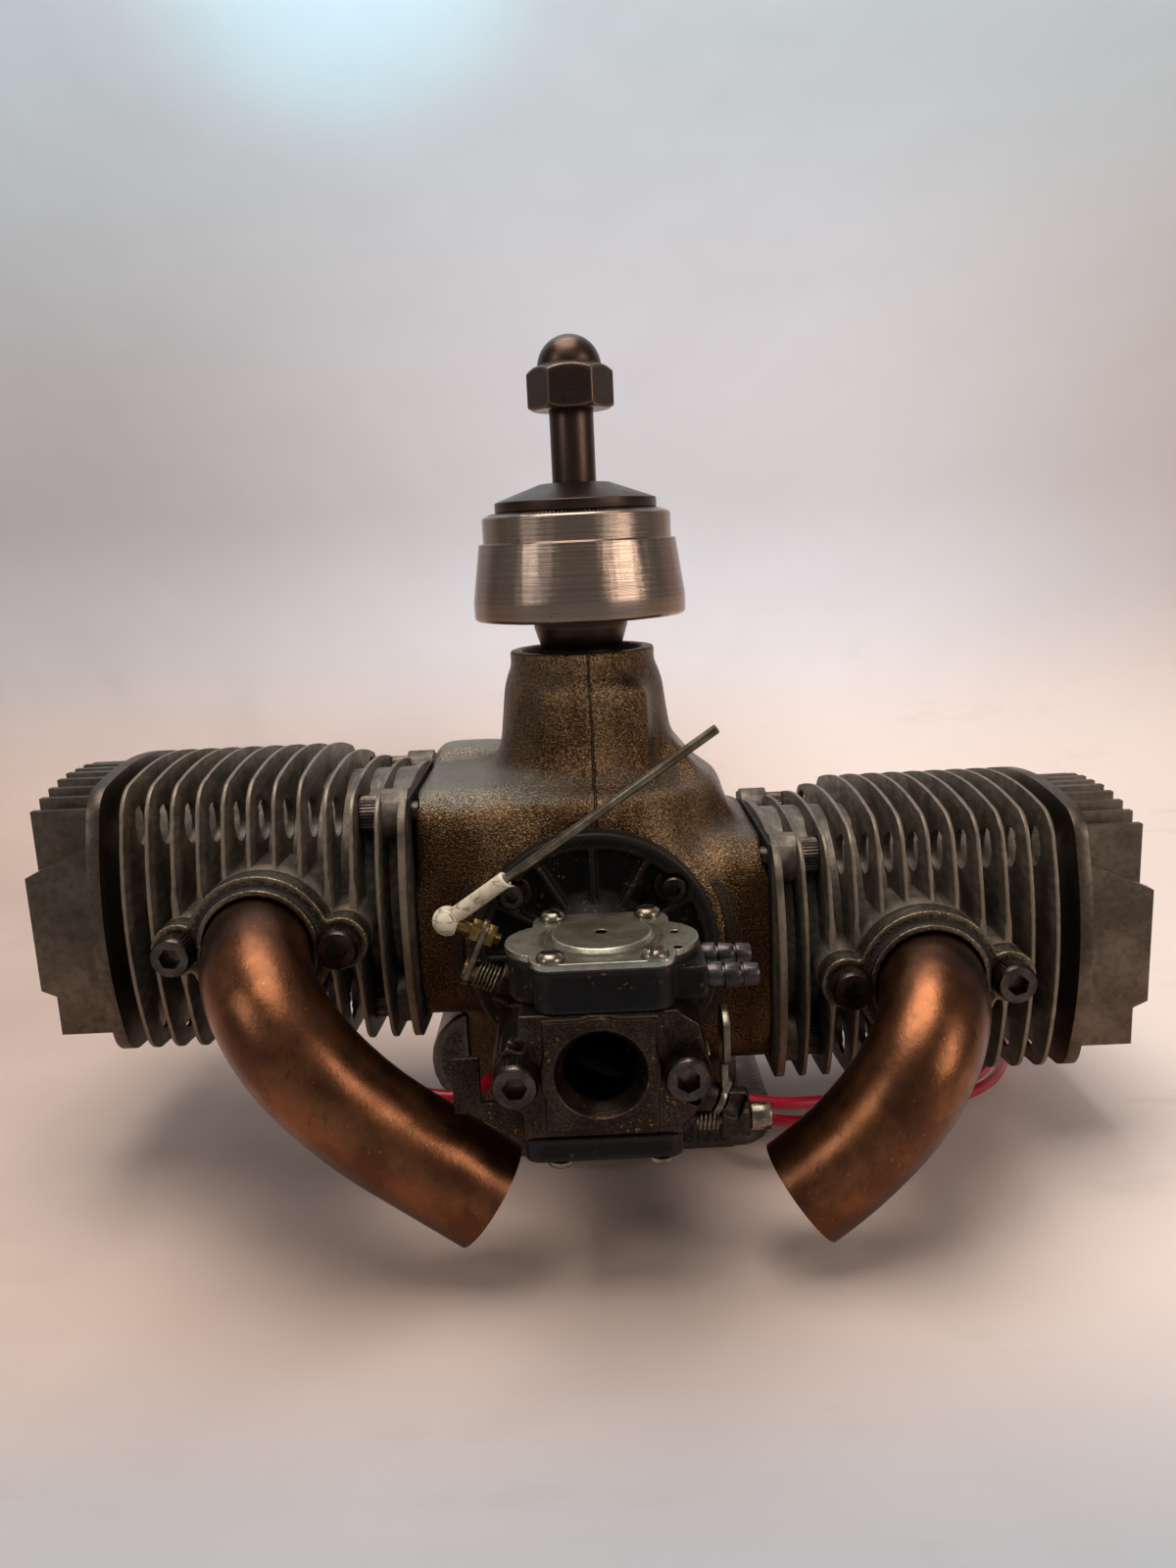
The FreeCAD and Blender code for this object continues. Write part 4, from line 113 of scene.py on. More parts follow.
# ---------------------------------------------------------------- node trees
def operator(operation: str, swapped: bool = False) -> Callable[["Value", "Number"], "Value"]:
    """A method that applies a Math node to a value and a second one, or to the second one first."""
    def method(self: "Value", other: "Number") -> "Value":
        """The Math node's result."""
        pair = {0: other, 1: self} if swapped else {0: self, 1: other}
        return self.tree.node("ShaderNodeMath", pair, operation=operation)
    return method


class Value:
    """A node socket that can be used in arithmetic."""

    __add__, __radd__ = operator("ADD"), operator("ADD", True)
    __sub__, __rsub__ = operator("SUBTRACT"), operator("SUBTRACT", True)
    __mul__, __rmul__ = operator("MULTIPLY"), operator("MULTIPLY", True)
    __truediv__, __rtruediv__ = operator("DIVIDE"), operator("DIVIDE", True)

    def __init__(self, tree: "NodeTree", socket: bpy.types.NodeSocket) -> None:
        """Wraps one output socket of a tree."""
        self.tree = tree
        self.socket = socket

    def math(self, operation: str, *others: Number) -> "Value":
        """Applies a Math node to this value and any others."""
        return self.tree.node("ShaderNodeMath", dict(enumerate((self, *others))), operation=operation)

    def between(self, low: float, high: float) -> "Value":
        """Eases from 0 at low to 1 at high."""
        return self.tree.node("ShaderNodeMapRange", {0: self, 1: low, 2: high}, interpolation_type="SMOOTHSTEP")

    def clamped(self) -> "Value":
        """The value held between 0 and 1."""
        return self.tree.node("ShaderNodeClamp", {0: self})


class NodeTree:
    """A node tree and the one method that adds nodes to it."""

    def __init__(self, group: bpy.types.NodeTree) -> None:
        """Wraps a tree."""
        self.group = group

    def node(self, kind: str, inputs: Dict[Union[int, str], object], output: Union[int, str] = 0,
             **settings: object) -> Value:
        """Adds a node.

        Args:
            kind: the node's type.
            inputs: numbers, colours or links by socket index or name.
            output: which output to give back.
            settings: the node's properties, set first.

        Returns:
            That output as a value.
        """
        made = self.group.nodes.new(kind)
        for name, setting in settings.items():
            setattr(made, name, setting)
        for key, value in inputs.items():
            self.feed(made.inputs[key], value)
        return Value(self, made.outputs[output])

    def feed(self, socket: bpy.types.NodeSocket, value: object) -> None:
        """Links a value to a socket, or sets the socket to a plain one; a colour may be a hex code."""
        if isinstance(value, Value):
            self.group.links.new(value.socket, socket)
        elif socket.type == "RGBA":
            socket.default_value = (*(linear(value) if isinstance(value, str) else value), 1.0)
        else:
            socket.default_value = value


class ShaderTree(NodeTree):
    """A material's tree with the patterns that the finishes share."""

    def __init__(self, name: str) -> None:
        """Starts a material with a bare surface shader."""
        self.material = bpy.data.materials.new(name)
        self.material.use_nodes = True
        super().__init__(self.material.node_tree)
        self.group.nodes.clear()
        self.surface = self.group.nodes.new("ShaderNodeBsdfPrincipled")
        end = self.group.nodes.new("ShaderNodeOutputMaterial").inputs[0]
        self.feed(end, Value(self, self.surface.outputs[0]))
        self.place = self.node("ShaderNodeTexCoord", {}, "Object")

    def set(self, **sockets: object) -> None:
        """Sets the surface's sockets, named with _ for spaces."""
        for name, value in sockets.items():
            self.feed(self.surface.inputs[name.replace("_", " ")], value)

    def stretched(self, scale: Triple, turn: Triple = (0, 0, 0)) -> Value:
        """The place, turned and scaled, for patterns that run one way."""
        return self.node("ShaderNodeMapping", {"Vector": self.place, "Scale": scale, "Rotation": turn})

    def noise(self, size: float, detail: float = 3.0, coarse: float = 0.5, place: Optional[Value] = None) -> Value:
        """Cloudy noise.

        Args:
            size: the size of its patches in metres.
            detail: how many finer layers it has.
            coarse: how strong the finer layers are.
            place: the coordinates to use in place of the object's own.

        Returns:
            A value around 0.5.
        """
        inputs = {"Vector": place or self.place, "Scale": 1 / size, "Detail": detail, "Roughness": coarse}
        return self.node("ShaderNodeTexNoise", inputs)

    def cells(self, size: float, feature: str = "F1", place: Optional[Value] = None) -> Value:
        """Distance pattern of scattered points."""
        inputs = {"Vector": place or self.place, "Scale": 1 / size}
        return self.node("ShaderNodeTexVoronoi", inputs, feature=feature)

    def attribute(self, name: str) -> Value:
        """A number stored on the mesh."""
        return self.node("ShaderNodeAttribute", {}, "Fac", attribute_name=name)

    def part(self, axis: int) -> Value:
        """One coordinate of the place, in metres."""
        return self.node("ShaderNodeSeparateXYZ", {0: self.place}, axis)

    @staticmethod
    def reach(first: Value, second: Value) -> Value:
        """The distance that two parts give."""
        return (first * first + second * second).math("SQRT")

    def facing(self, axis: int) -> Value:
        """One part of the surface's direction."""
        normal = self.node("ShaderNodeNewGeometry", {}, "Normal")
        return self.node("ShaderNodeSeparateXYZ", {0: normal}, axis)

    def mix(self, share: Number, first: object, second: object) -> Value:
        """Mixes two colours."""
        return self.node("ShaderNodeMix", {0: share, 6: first, 7: second}, 2, data_type="RGBA")

    def layered(self, tone: object, *coats: Tuple[Number, object]) -> Value:
        """A tone with coats over it, each a share and a colour."""
        for share, colour in coats:
            tone = self.mix(share, tone, colour)
        return tone

    def bump(self, height: Value, depth: float) -> Value:
        """Turns a height of 0 to 1 into a surface direction, depth in metres."""
        return self.node("ShaderNodeBump", {"Height": height, "Distance": depth, "Strength": 1.0})


class GeometryTree(NodeTree):
    """A geometry tree with named sizes, run once on a mesh of seats or on a curve."""

    def __init__(self, name: str) -> None:
        """Starts a tree with one geometry in and one out."""
        super().__init__(bpy.data.node_groups.new(name, "GeometryNodeTree"))
        for way in ("INPUT", "OUTPUT"):
            self.group.interface.new_socket("Geometry", in_out=way, socket_type="NodeSocketGeometry")
        self.start = self.group.nodes.new("NodeGroupInput")
        self.end = self.group.nodes.new("NodeGroupOutput")
        self.source = Value(self, self.start.outputs[0])
        self.names: Dict[str, str] = {}

    def size(self, name: str, kind: str = "NodeSocketFloat") -> Value:
        """Adds a named input."""
        socket = self.group.interface.new_socket(name, in_out="INPUT", socket_type=kind)
        self.names[name] = socket.identifier
        return Value(self, next(s for s in self.start.outputs if s.identifier == socket.identifier))

    def sizes(self, *names: str) -> List[Value]:
        """Adds several named inputs."""
        return [self.size(name) for name in names]

    def xyz(self, x: Number, y: Number, z: Number) -> Value:
        """A vector from its parts."""
        return self.node("ShaderNodeCombineXYZ", {0: x, 1: y, 2: z})

    def moved(self, shape: Value, **changes: object) -> Value:
        """A shape moved, turned or scaled."""
        return self.node("GeometryNodeTransform", {0: shape, **changes})

    def on_seats(self, shape: Value) -> Value:
        """Copies a shape to every seat, its Z along the seat's axis, turned by the seat's turn."""
        axis = self.node("GeometryNodeInputNamedAttribute", {"Name": "axis"}, data_type="FLOAT_VECTOR")
        turn = self.node("GeometryNodeInputNamedAttribute", {"Name": "turn"}, data_type="FLOAT")
        aimed = self.node("FunctionNodeAlignRotationToVector", {"Vector": axis}, axis="Z")
        spun = self.node("FunctionNodeAxisAngleToRotation", {"Axis": (0, 0, 1), "Angle": turn})
        both = self.node("FunctionNodeRotateRotation", {0: aimed, 1: spun}, rotation_space="LOCAL")
        return self.node("GeometryNodeInstanceOnPoints", {"Points": self.source, "Instance": shape, "Rotation": both})

    def finish(self, shape: Value) -> None:
        """Ends the tree in plain mesh with a material."""
        plain = self.node("GeometryNodeRealizeInstances", {0: shape})
        material = self.size("Material", "NodeSocketMaterial")
        self.feed(self.end.inputs[0], self.node("GeometryNodeSetMaterial", {0: plain, "Material": material}))

    def grow(self, name: str, source: Object, sizes: Dict[str, object]) -> Object:
        """Runs the tree.

        Args:
            name: the new object's name.
            source: the object of seats or the curve; it is removed.
            sizes: values for the tree's named inputs.

        Returns:
            A plain mesh object.
        """
        modifier = source.modifiers.new("grow", "NODES")
        modifier.node_group = self.group
        for key, value in sizes.items():
            modifier[self.names[key]] = value
        return baked(source, name)


def linear(code: str) -> Triple:
    """A linear colour from a screen colour's hex code."""
    shares = [int(code[start:start + 2], 16) / 255 for start in (0, 2, 4)]
    return tuple(share / 12.92 if share <= 0.04045 else ((share + 0.055) / 1.055) ** 2.4 for share in shares)


def linked(name: str, data: bpy.types.ID) -> Object:
    """A new object in the scene."""
    made = bpy.data.objects.new(name, data)
    bpy.context.scene.collection.objects.link(made)
    return made


# ---------------------------------------------------------------- finishes
@dataclass(frozen=True)
class Cloud:
    """Cloudy noise eased from 0 at low to 1 at high, its size in metres."""

    size: float
    detail: float
    coarse: float
    low: float
    high: float
    stretch: Optional[Tuple[Triple, Triple]] = None        # the place's scale and turn

    def on(self, tree: ShaderTree) -> Value:
        """The noise on a material."""
        place = self.stretch and tree.stretched(*self.stretch)
        return tree.noise(self.size, self.detail, self.coarse, place).between(self.low, self.high)


@dataclass(frozen=True)
class Finish:
    """A mottled surface with grain, grime in its corners and worn edges; colours are hex codes."""

    name: str
    slot: str
    base: str
    mottle: str
    grime: str
    bare: str
    metallic: float = 1.0
    roughness: float = 0.45
    spread: float = 0.15          # how far the roughness wanders
    patch: float = 0.012          # size of the mottled patches
    grain: float = 0.0006         # size of the surface grain
    depth: float = 0.00004        # height of the grain
    wear: float = 1.0             # how much edges are worn
    dirt: float = 1.0             # how much grime lies in corners
    shine: float = 0.5            # strength of a non-metal's reflection
    crumbs: float = 0.0           # how much dry sawdust sticks to it
    sawdust: str = "96682c"
    heaps: Cloud = Cloud(0.006, 3, 0.6, 0.52, 0.62)        # where sawdust lies
    shavings: Cloud = Cloud(0.0009, 2, 0.5, 0.63, 0.66)    # its crumbs

    def tone(self, tree: ShaderTree) -> Value:
        """Base colour before wear and grime."""
        patches = tree.noise(self.patch, 5, 0.6).between(0.38, 0.62)
        fine = tree.noise(self.patch / 9, 4, 0.6).between(0.42, 0.68)
        return tree.layered(self.base, (patches, self.mottle), (fine * 0.35, self.grime))

    def height(self, tree: ShaderTree) -> Value:
        """Height of the surface grain."""
        return tree.noise(self.grain, 3, 0.6)

    def worn(self, tree: ShaderTree, ragged: Value) -> Value:
        """Where the edges are rubbed bare."""
        return (tree.attribute(RELIEF) + (ragged - 0.5) * 0.5).between(0.12, 0.5)

    def material(self) -> Material:
        """Builds the material."""
        tree = ShaderTree(self.name)
        ragged = tree.noise(0.0016, 4, 0.7)
        worn = (self.worn(tree, ragged) * self.wear).clamped()
        sunk = ((ragged * 0.35 - tree.attribute(RELIEF)).between(0.22, 0.75) * self.dirt).clamped()
        tone = tree.layered(self.tone(tree), (worn, self.bare), (sunk, self.grime))
        if self.crumbs:
            tone = tree.mix(self.shavings.on(tree) * self.heaps.on(tree) * self.crumbs, tone, self.sawdust)
        wander = (tree.noise(self.patch / 2, 4, 0.65) - 0.5) * (2 * self.spread)
        rough = (wander + self.roughness + sunk * 0.25 - worn * 0.12).clamped()
        metal = (1 - sunk * 0.7) * self.metallic if self.metallic else 0.0
        tree.set(Base_Color=tone, Roughness=rough, Metallic=metal,
                 Specular_IOR_Level=self.shine, Normal=tree.bump(self.height(tree), self.depth))
        return tree.material


@dataclass(frozen=True)
class CastFinish(Finish):
    """Sand casting: coarse grain with grime and painted shade in its hollows, run-down oil stains, and tops paled by
    dust and by a painted highlight.
    """

    # colour and share of the dust and painted highlight on upward faces
    dust_and_highlight: str = "a9a9a5"
    dust_and_highlight_share: float = 0.5
    grit: float = 0.6             # how dark the hollows between the grains are, with grime and painted shade

    def tone(self, tree: ShaderTree) -> Value:
        """Stained brown metal, paler where it faces up, which is dust and a painted highlight."""
        flow = tree.stretched((1.0, 1.0, 0.45))
        stains = tree.noise(self.patch, 6, 0.62, flow).between(0.36, 0.6)
        # grain speckle: the hollows darkened with grime and painted shade, the grain tips lightened to bare metal
        # with a painted sparkle
        sand = tree.noise(self.grain * 1.3, 3, 0.6)
        hollow_grime_and_shade = (1 - sand.between(0.38, 0.56)) * self.grit
        # upward faces are paled: partly dust, partly a painted highlight
        upward = (tree.facing(2) + (tree.noise(0.004, 4, 0.6) - 0.5) * 0.9).between(0.35, 0.95)
        return tree.layered(self.base, (stains, self.mottle), (hollow_grime_and_shade, self.grime),
                            (sand.between(0.52, 0.74) * 0.5, self.bare), (upward * self.dust_and_highlight_amount(tree), self.dust_and_highlight))

    def dust_and_highlight_amount(self, tree: ShaderTree) -> Number:
        """How much dust and painted highlight an upward face gets."""
        return self.dust_and_highlight_share

    def height(self, tree: ShaderTree) -> Value:
        """Sand grain with a few pits."""
        return tree.cells(self.grain) * 0.7 + tree.noise(self.grain * 2.2, 4, 0.65)


@dataclass(frozen=True)
class CaseFinish(CastFinish):
    """The crankcase's casting, with the mould's parting line down its front and back."""

    seam_x: float = 0.0014
    seam_half: float = 0.00045
    seam_foot: float = 0.068

    def seam(self, tree: ShaderTree) -> Value:
        """The ragged parting line, 1 in its middle."""
        wander = (tree.noise(0.004, 3, 0.6) - 0.5) * 0.0012
        away = (tree.part(0) - self.seam_x + wander).math("ABSOLUTE")
        return (1 - away.between(self.seam_half * 0.3, self.seam_half)) * tree.part(2).between(
            self.seam_foot, self.seam_foot + 0.006)

    def dust_and_highlight_amount(self, tree: ShaderTree) -> Number:
        """Paler on the left arm, a painted reflection of the wall with some dust; a quarter as pale elsewhere."""
        return (1 - tree.part(0).between(-0.026, 0.004) * 0.75) * self.dust_and_highlight_share

    def tone(self, tree: ShaderTree) -> Value:
        """The casting's tone, with oil along the parting line."""
        return tree.mix(self.seam(tree) * 0.65, super().tone(tree), self.grime)

    def height(self, tree: ShaderTree) -> Value:
        """The sand grain, with the parting line standing out of it."""
        return super().height(tree) + self.seam(tree) * 1.5


@dataclass(frozen=True)
class FinFinish(Finish):
    """Dark paint on fins: brushed flanks, dirt and painted shade at the roots, rims rubbed to metal."""

    barrel: Pair = (0.019, 0.0275)      # where the dirt and painted shade at the roots end
    corner: Pair = (0.0382, 0.039)      # where a rim begins and is bare, from the axis
    flank: Pair = (0.0342, 0.035)       # the same at the front and back
    crown: Pair = (0.0286, 0.0294)      # and above and below
    strokes: Cloud = Cloud(0.0016, 4, 0.6, 0.35, 0.7, ((1.0, 0.35, 1.0), (0.7, 0.0, 0.0)))

    def rise(self, tree: ShaderTree) -> Value:
        """Height over the axis of the cylinder that the place is on."""
        left, right = AXIS_Z[Side.LEFT] * MM, AXIS_Z[Side.RIGHT] * MM
        return tree.part(2) - ((tree.part(0) * -1000).clamped() * (left - right) + right)

    def radius(self, tree: ShaderTree) -> Value:
        """Distance from that axis."""
        return tree.reach(tree.part(1), self.rise(tree))

    def tone(self, tree: ShaderTree) -> Value:
        """Brushed flanks that darken towards the barrel, with dirt and painted shade."""
        cloud = tree.noise(self.patch, 4, 0.6).between(0.42, 0.66)
        # darker towards the barrel, deep between the fins: dirt and painted shade
        root = 1 - self.radius(tree).between(*self.barrel)
        return tree.layered(self.mottle, (self.strokes.on(tree), self.base), (cloud * 0.5, self.grime),
                            (root * 0.6, self.grime))

    def worn(self, tree: ShaderTree, ragged: Value) -> Value:
        """Rims, with some paint left on them."""
        rim = (1 - tree.facing(0).math("ABSOLUTE")).between(0.7, 0.97)
        outer = self.radius(tree).between(*self.corner)
        for part, limits in ((tree.part(1), self.flank), (self.rise(tree), self.crown)):
            outer = outer.math("MAXIMUM", part.math("ABSOLUTE").between(*limits))
        left_on = (ragged * 0.6 + tree.noise(0.006, 3, 0.6) * 0.7).between(0.42, 0.62)
        return rim * outer * (left_on * 0.75 + 0.25)


@dataclass(frozen=True)
class TurnedFinish(Finish):
    """Metal turned on a lathe about the crank axis."""

    flat: float = 0.007           # width of the flats that chatter leaves
    chatter: float = 0.0          # their height in metres
    spots: Cloud = Cloud(0.0009, 3, 0.5, 0.66, 0.76)

    def rings(self, tree: ShaderTree) -> Value:
        """Fine tool rings from the distance to the axis and the height."""
        radius, height = tree.reach(tree.part(0), tree.part(1)), tree.part(2)
        along = tree.node("ShaderNodeCombineXYZ", {0: radius * 6.0, 1: height * 6.0, 2: 0.0})
        return tree.noise(0.0012, 5, 0.8, along)

    def tone(self, tree: ShaderTree) -> Value:
        """Rings of slightly different shade."""
        return tree.layered(self.base, (self.rings(tree).between(0.3, 0.7), self.mottle),
                            (self.spots.on(tree) * 0.7, self.grime))

    def height(self, tree: ShaderTree) -> Value:
        """Tool rings, and the slight flats that chatter leaves round the piece."""
        flats = tree.noise(self.flat, 2, 0.4, tree.stretched((1.0, 1.0, 0.0)))
        return self.rings(tree) + flats * (self.chatter / self.depth)


@dataclass(frozen=True)
class CopperFinish(Finish):
    """Copper tube browned by heat, with rubbed satin patches and scratches."""

    hot: Pair = (0.004, 0.022)          # where the heat's brown fades, along the tube
    streaks: Cloud = Cloud(0.0022, 4, 0.7, 0.56, 0.7, ((1.0, 1.0, 0.3), (0.5, 0.9, 0.3)))
    flecks: Cloud = Cloud(0.0008, 2, 0.5, 0.68, 0.76)

    def tone(self, tree: ShaderTree) -> Value:
        """Heat-brown copper, darker at the port and in blotches."""
        blotch = tree.noise(0.016, 5, 0.6)
        hot = (1 - (tree.attribute(RUN) + (blotch - 0.5) * 0.02).between(*self.hot)) * 0.55
        return tree.layered(self.base, (blotch.between(0.42, 0.66), self.mottle), (hot.clamped(), self.grime),
                            (self.streaks.on(tree) * 0.35, self.grime), (self.flecks.on(tree) * 0.5, self.bare))

    def height(self, tree: ShaderTree) -> Value:
        """Shallow dents and fine scratches."""
        scratch = tree.noise(0.0007, 3, 0.7, tree.stretched((1.0, 0.25, 1.0), (0.3, 0.2, 0.8)))
        return tree.noise(0.009, 2, 0.5) * 1.6 + scratch * 0.5


@dataclass(frozen=True)
class CoverFinish(Finish):
    """Plated cover: oily rims, and painted shade in the vent hole in the middle of its disc and in the two small
    holes.
    """

    holes: Tuple[Triple, ...] = ((0.0012, -0.0665, 0.0011), (0.015, -0.0655, 0.0008),
                                 (0.015, -0.074, 0.0008))
    foot: float = 0.0109          # radius of the disc's foot, where oil gathers
    patchy: Cloud = Cloud(0.003, 4, 0.7, 0.3, 0.55)

    @staticmethod
    def radius(tree: ShaderTree, x: float, y: float) -> Value:
        """Distance from an upright line."""
        return tree.reach(tree.part(0) - x, tree.part(1) - y)

    def solid(self, tree: ShaderTree, inner: float, outer: float) -> Value:
        """0 in the holes and 1 beyond them, between two multiples of their radius."""
        vent, first, second = ((self.radius(tree, x, y) / size).between(inner, outer) for x, y, size in self.holes)
        return vent * first * second

    def worn(self, tree: ShaderTree, ragged: Value) -> Value:
        """Worn edges, but not round the vent and the small holes."""
        return super().worn(tree, ragged) * self.solid(tree, 1.3, 1.9)

    def tone(self, tree: ShaderTree) -> Value:
        """Plated metal, with oil along the disc's foot, and the vent and the two small holes painted near black as
        painted shade.
        """
        away = (self.radius(tree, *self.holes[0][:2]) - self.foot).math("ABSOLUTE")
        oil = (1 - away.between(0.0003, 0.0014)) * 0.6 * self.patchy.on(tree)
        # the vent and the two small holes are painted near black: painted shade
        return tree.layered(super().tone(tree), (oil, self.grime),
                            (1 - self.solid(tree, 1.0, 1.15), (0.004, 0.003, 0.002)))


@dataclass(frozen=True)
class AgedNylon(Finish):
    """Cream nylon with dirty cracks."""

    yellow: Cloud = Cloud(0.004, 4, 0.6, 0.4, 0.65)
    broken: Cloud = Cloud(0.003, 3, 0.6, 0.44, 0.56)       # where the cracks run on
    stains: Cloud = Cloud(0.0016, 4, 0.7, 0.58, 0.72)
    crack_size: float = 0.0021

    def tone(self, tree: ShaderTree) -> Value:
        """Cream with dark crack lines and yellowed patches."""
        along = tree.stretched((0.3, 1.0, 1.0), (0.0, 0.66, 0.0))
        crack = 1 - tree.cells(self.crack_size, "DISTANCE_TO_EDGE", along).between(0.0, 0.1)
        dirt = (crack * self.broken.on(tree) * 0.9).math("MAXIMUM", self.stains.on(tree) * 0.5)
        return tree.layered(self.base, (self.yellow.on(tree), self.mottle), (dirt, self.grime))


def finishes() -> Dict[str, Finish]:
    """Every finish of the engine by a maker's plain name."""
    made = [
        CaseFinish("crankcase_cast", "case_casting", "86684a", "583d26", "1a110b", "ac906c", roughness=0.31,
            patch=0.02, grain=0.0004, depth=0.00026, wear=0.04, dirt=0.8, dust_and_highlight="74756c", dust_and_highlight_share=0.6, grit=0.66),
        CastFinish("cover_cast", "cover_casting", "5c5650", "463e36", "1e1915", "8c867e", roughness=0.46, patch=0.012,
            depth=0.00012, wear=0.4, dust_and_highlight="706c64"),
        FinFinish("fin_paint", "fin_paint", "7a6c5d", "5a4f43", "261e17", "86705a", metallic=0.5, roughness=0.5,
            patch=0.009, depth=0.00008, wear=0.8),
        Finish("head_metal", "head_metal", "64574b", "52463b", "2e251d", "968a7c", roughness=0.42, patch=0.012,
            grain=0.0004, depth=0.00003, wear=0.6),
        TurnedFinish("dark_steel", "dark_steel", "544238", "3a2c25", "1e1612", "927462", roughness=0.34,
            depth=0.00003, wear=0.35),
        TurnedFinish("hub_turned", "hub_metal", "ac9685", "7e695a", "543e30", "ded2c8", roughness=0.2, spread=0.05,
            depth=0.00004, flat=0.005, chatter=0.00036),
        CopperFinish("copper_tube", "copper", "5c3926", "7e4f33", "261912", "b07652", roughness=0.33, spread=0.14,
            depth=0.00008, wear=0.8),
        CastFinish("flange_cast", "flange_casting", "625644", "483c2e", "1e1711", "8c7a62", roughness=0.42,
            patch=0.006, grain=0.0006, depth=0.00014, wear=0.38, dust_and_highlight="766e5e"),
        Finish("black_oxide", "black_screws", "5c4f47", "423832", "14100d", "8c7c6e", roughness=0.3, patch=0.003,
            depth=0.00002),
        Finish("black_moulding", "black_plastic", "0c0a08", "070605", "19120c", "26201b", metallic=0.0,
            roughness=0.48, patch=0.006, depth=0.00004, wear=0.6, dirt=0.5, shine=0.15, crumbs=0.5),
        CastFinish("carb_cast", "carb_casting", "44362d", "322720", "16100c", "5c4c3e", roughness=0.4, patch=0.006,
            grain=0.0003, depth=0.00004, wear=0.05, dirt=0.45, dust_and_highlight="463d32", dust_and_highlight_share=0.35, crumbs=0.8),
        # near-black, dull finish for the plates and shaft in the carburettor's throat: painted shade of the throat
        Finish("sooted_plate", "carb_casting", "090706", "060504", "050404", "0e0b09", metallic=0.0, roughness=0.85,
            patch=0.003, wear=0.1, shine=0.05),
        CoverFinish("zinc_cover", "plated_cover", "aaa898", "888470", "322517", "bebaae", roughness=0.36, patch=0.005,
            depth=0.00003, wear=0.3),
        Finish("bright_screw", "bright_screws", "968c7e", "766a5a", "2e2217", "ccc4b8", roughness=0.28, patch=0.002,
            depth=0.00002),
        Finish("nipple_metal", "nipple_metal", "584e50", "423a3c", "1c1614", "8c8282", roughness=0.34, patch=0.004),
        Finish("dull_brass", "brass", "8e7042", "6a502c", "2e2112", "c4aa76", roughness=0.36, patch=0.003),
        Finish("lever_steel", "lever_steel", "807464", "605240", "281d13", "bab0a0", roughness=0.34, patch=0.004),
        AgedNylon("aged_nylon", "nylon", "d6c4a6", "bea884", "402c1b", "e4d6be", metallic=0.0, roughness=0.5,
            depth=0.00004),
        Finish("plug_rubber", "rubber", "1e1e1f", "181818", "28221c", "3c3a38", metallic=0.0, roughness=0.62,
            patch=0.01),
        Finish("gasket_sheet", "gasket", "221f1c", "1a1715", "100d0b", "50483e", metallic=0.0, roughness=0.6,
            patch=0.003),
        Finish("red_silicone", "red_silicone", "c81030", "ac0a26", "68101a", "e63450", metallic=0.0, roughness=0.34,
            spread=0.05, patch=0.008, depth=0.00001, wear=0.0),
        TurnedFinish("ground_steel", "bearing_steel", "b0b0b2", "969698", "3c3834", "d2d2d4", roughness=0.26,
            depth=0.00001),
        Finish("piston_metal", "piston_metal", "aaa8a4", "96928c", "322a22", "ceccc8", roughness=0.36),
        Finish("reed_sheet", "reed_sheet", "5c644e", "4c523e", "28261c", "787e66", metallic=0.0, roughness=0.5),
    ]
    return {finish.name: finish for finish in made}


# ---------------------------------------------------------------- mesh tools
def baked(source: Object, name: str) -> Object:
    """A plain mesh object of what an object looks like with its modifiers run; the object itself goes."""
    graph = bpy.context.evaluated_depsgraph_get()
    graph.update()
    mesh = bpy.data.meshes.new_from_object(source.evaluated_get(graph), depsgraph=graph)
    mesh.name = name
    bpy.data.objects.remove(source)
    return linked(name, mesh)


def object_of(name: str, shape: bmesh.types.BMesh) -> Object:
    """A new object from a bmesh, which is freed."""
    mesh = bpy.data.meshes.new(name)
    shape.to_mesh(mesh)
    shape.free()
    return linked(name, mesh)


def node_shape(node: str) -> bmesh.types.BMesh:
    """A merged copy of a construction node's mesh."""
    shape = bmesh.new()
    shape.from_mesh(bpy.data.objects[node].data)
    bmesh.ops.remove_doubles(shape, verts=shape.verts, dist=2e-6)
    return shape


def loose_parts(shape: bmesh.types.BMesh) -> List[List[bmesh.types.BMVert]]:
    """The separate bodies of a bmesh."""
    seen = set()
    parts = []
    for first in shape.verts:
        if first in seen:
            continue
        seen.add(first)
        part, waiting = [], [first]
        while waiting:
            vertex = waiting.pop()
            part.append(vertex)
            for edge in vertex.link_edges:
                other = edge.other_vert(vertex)
                if other not in seen:
                    seen.add(other)
                    waiting.append(other)
        parts.append(part)
    return parts


def part_boxes(node: str) -> List[Tuple[Vector, Vector]]:
    """Lowest and highest corner of each separate body in a node."""
    shape = node_shape(node)
    places = [np.array([vertex.co for vertex in part]) for part in loose_parts(shape)]
    shape.free()
    return [(Vector(part.min(0)), Vector(part.max(0))) for part in places]


def neighbour_mean(places: np.ndarray, edges: np.ndarray, counts: np.ndarray) -> np.ndarray:
    """The mean place of each vertex's neighbours."""
    total = np.empty_like(places)
    for axis in range(3):
        total[:, axis] = (np.bincount(edges[:, 0], places[edges[:, 1], axis], len(places))
                          + np.bincount(edges[:, 1], places[edges[:, 0], axis], len(places)))
    return total / counts[:, None]


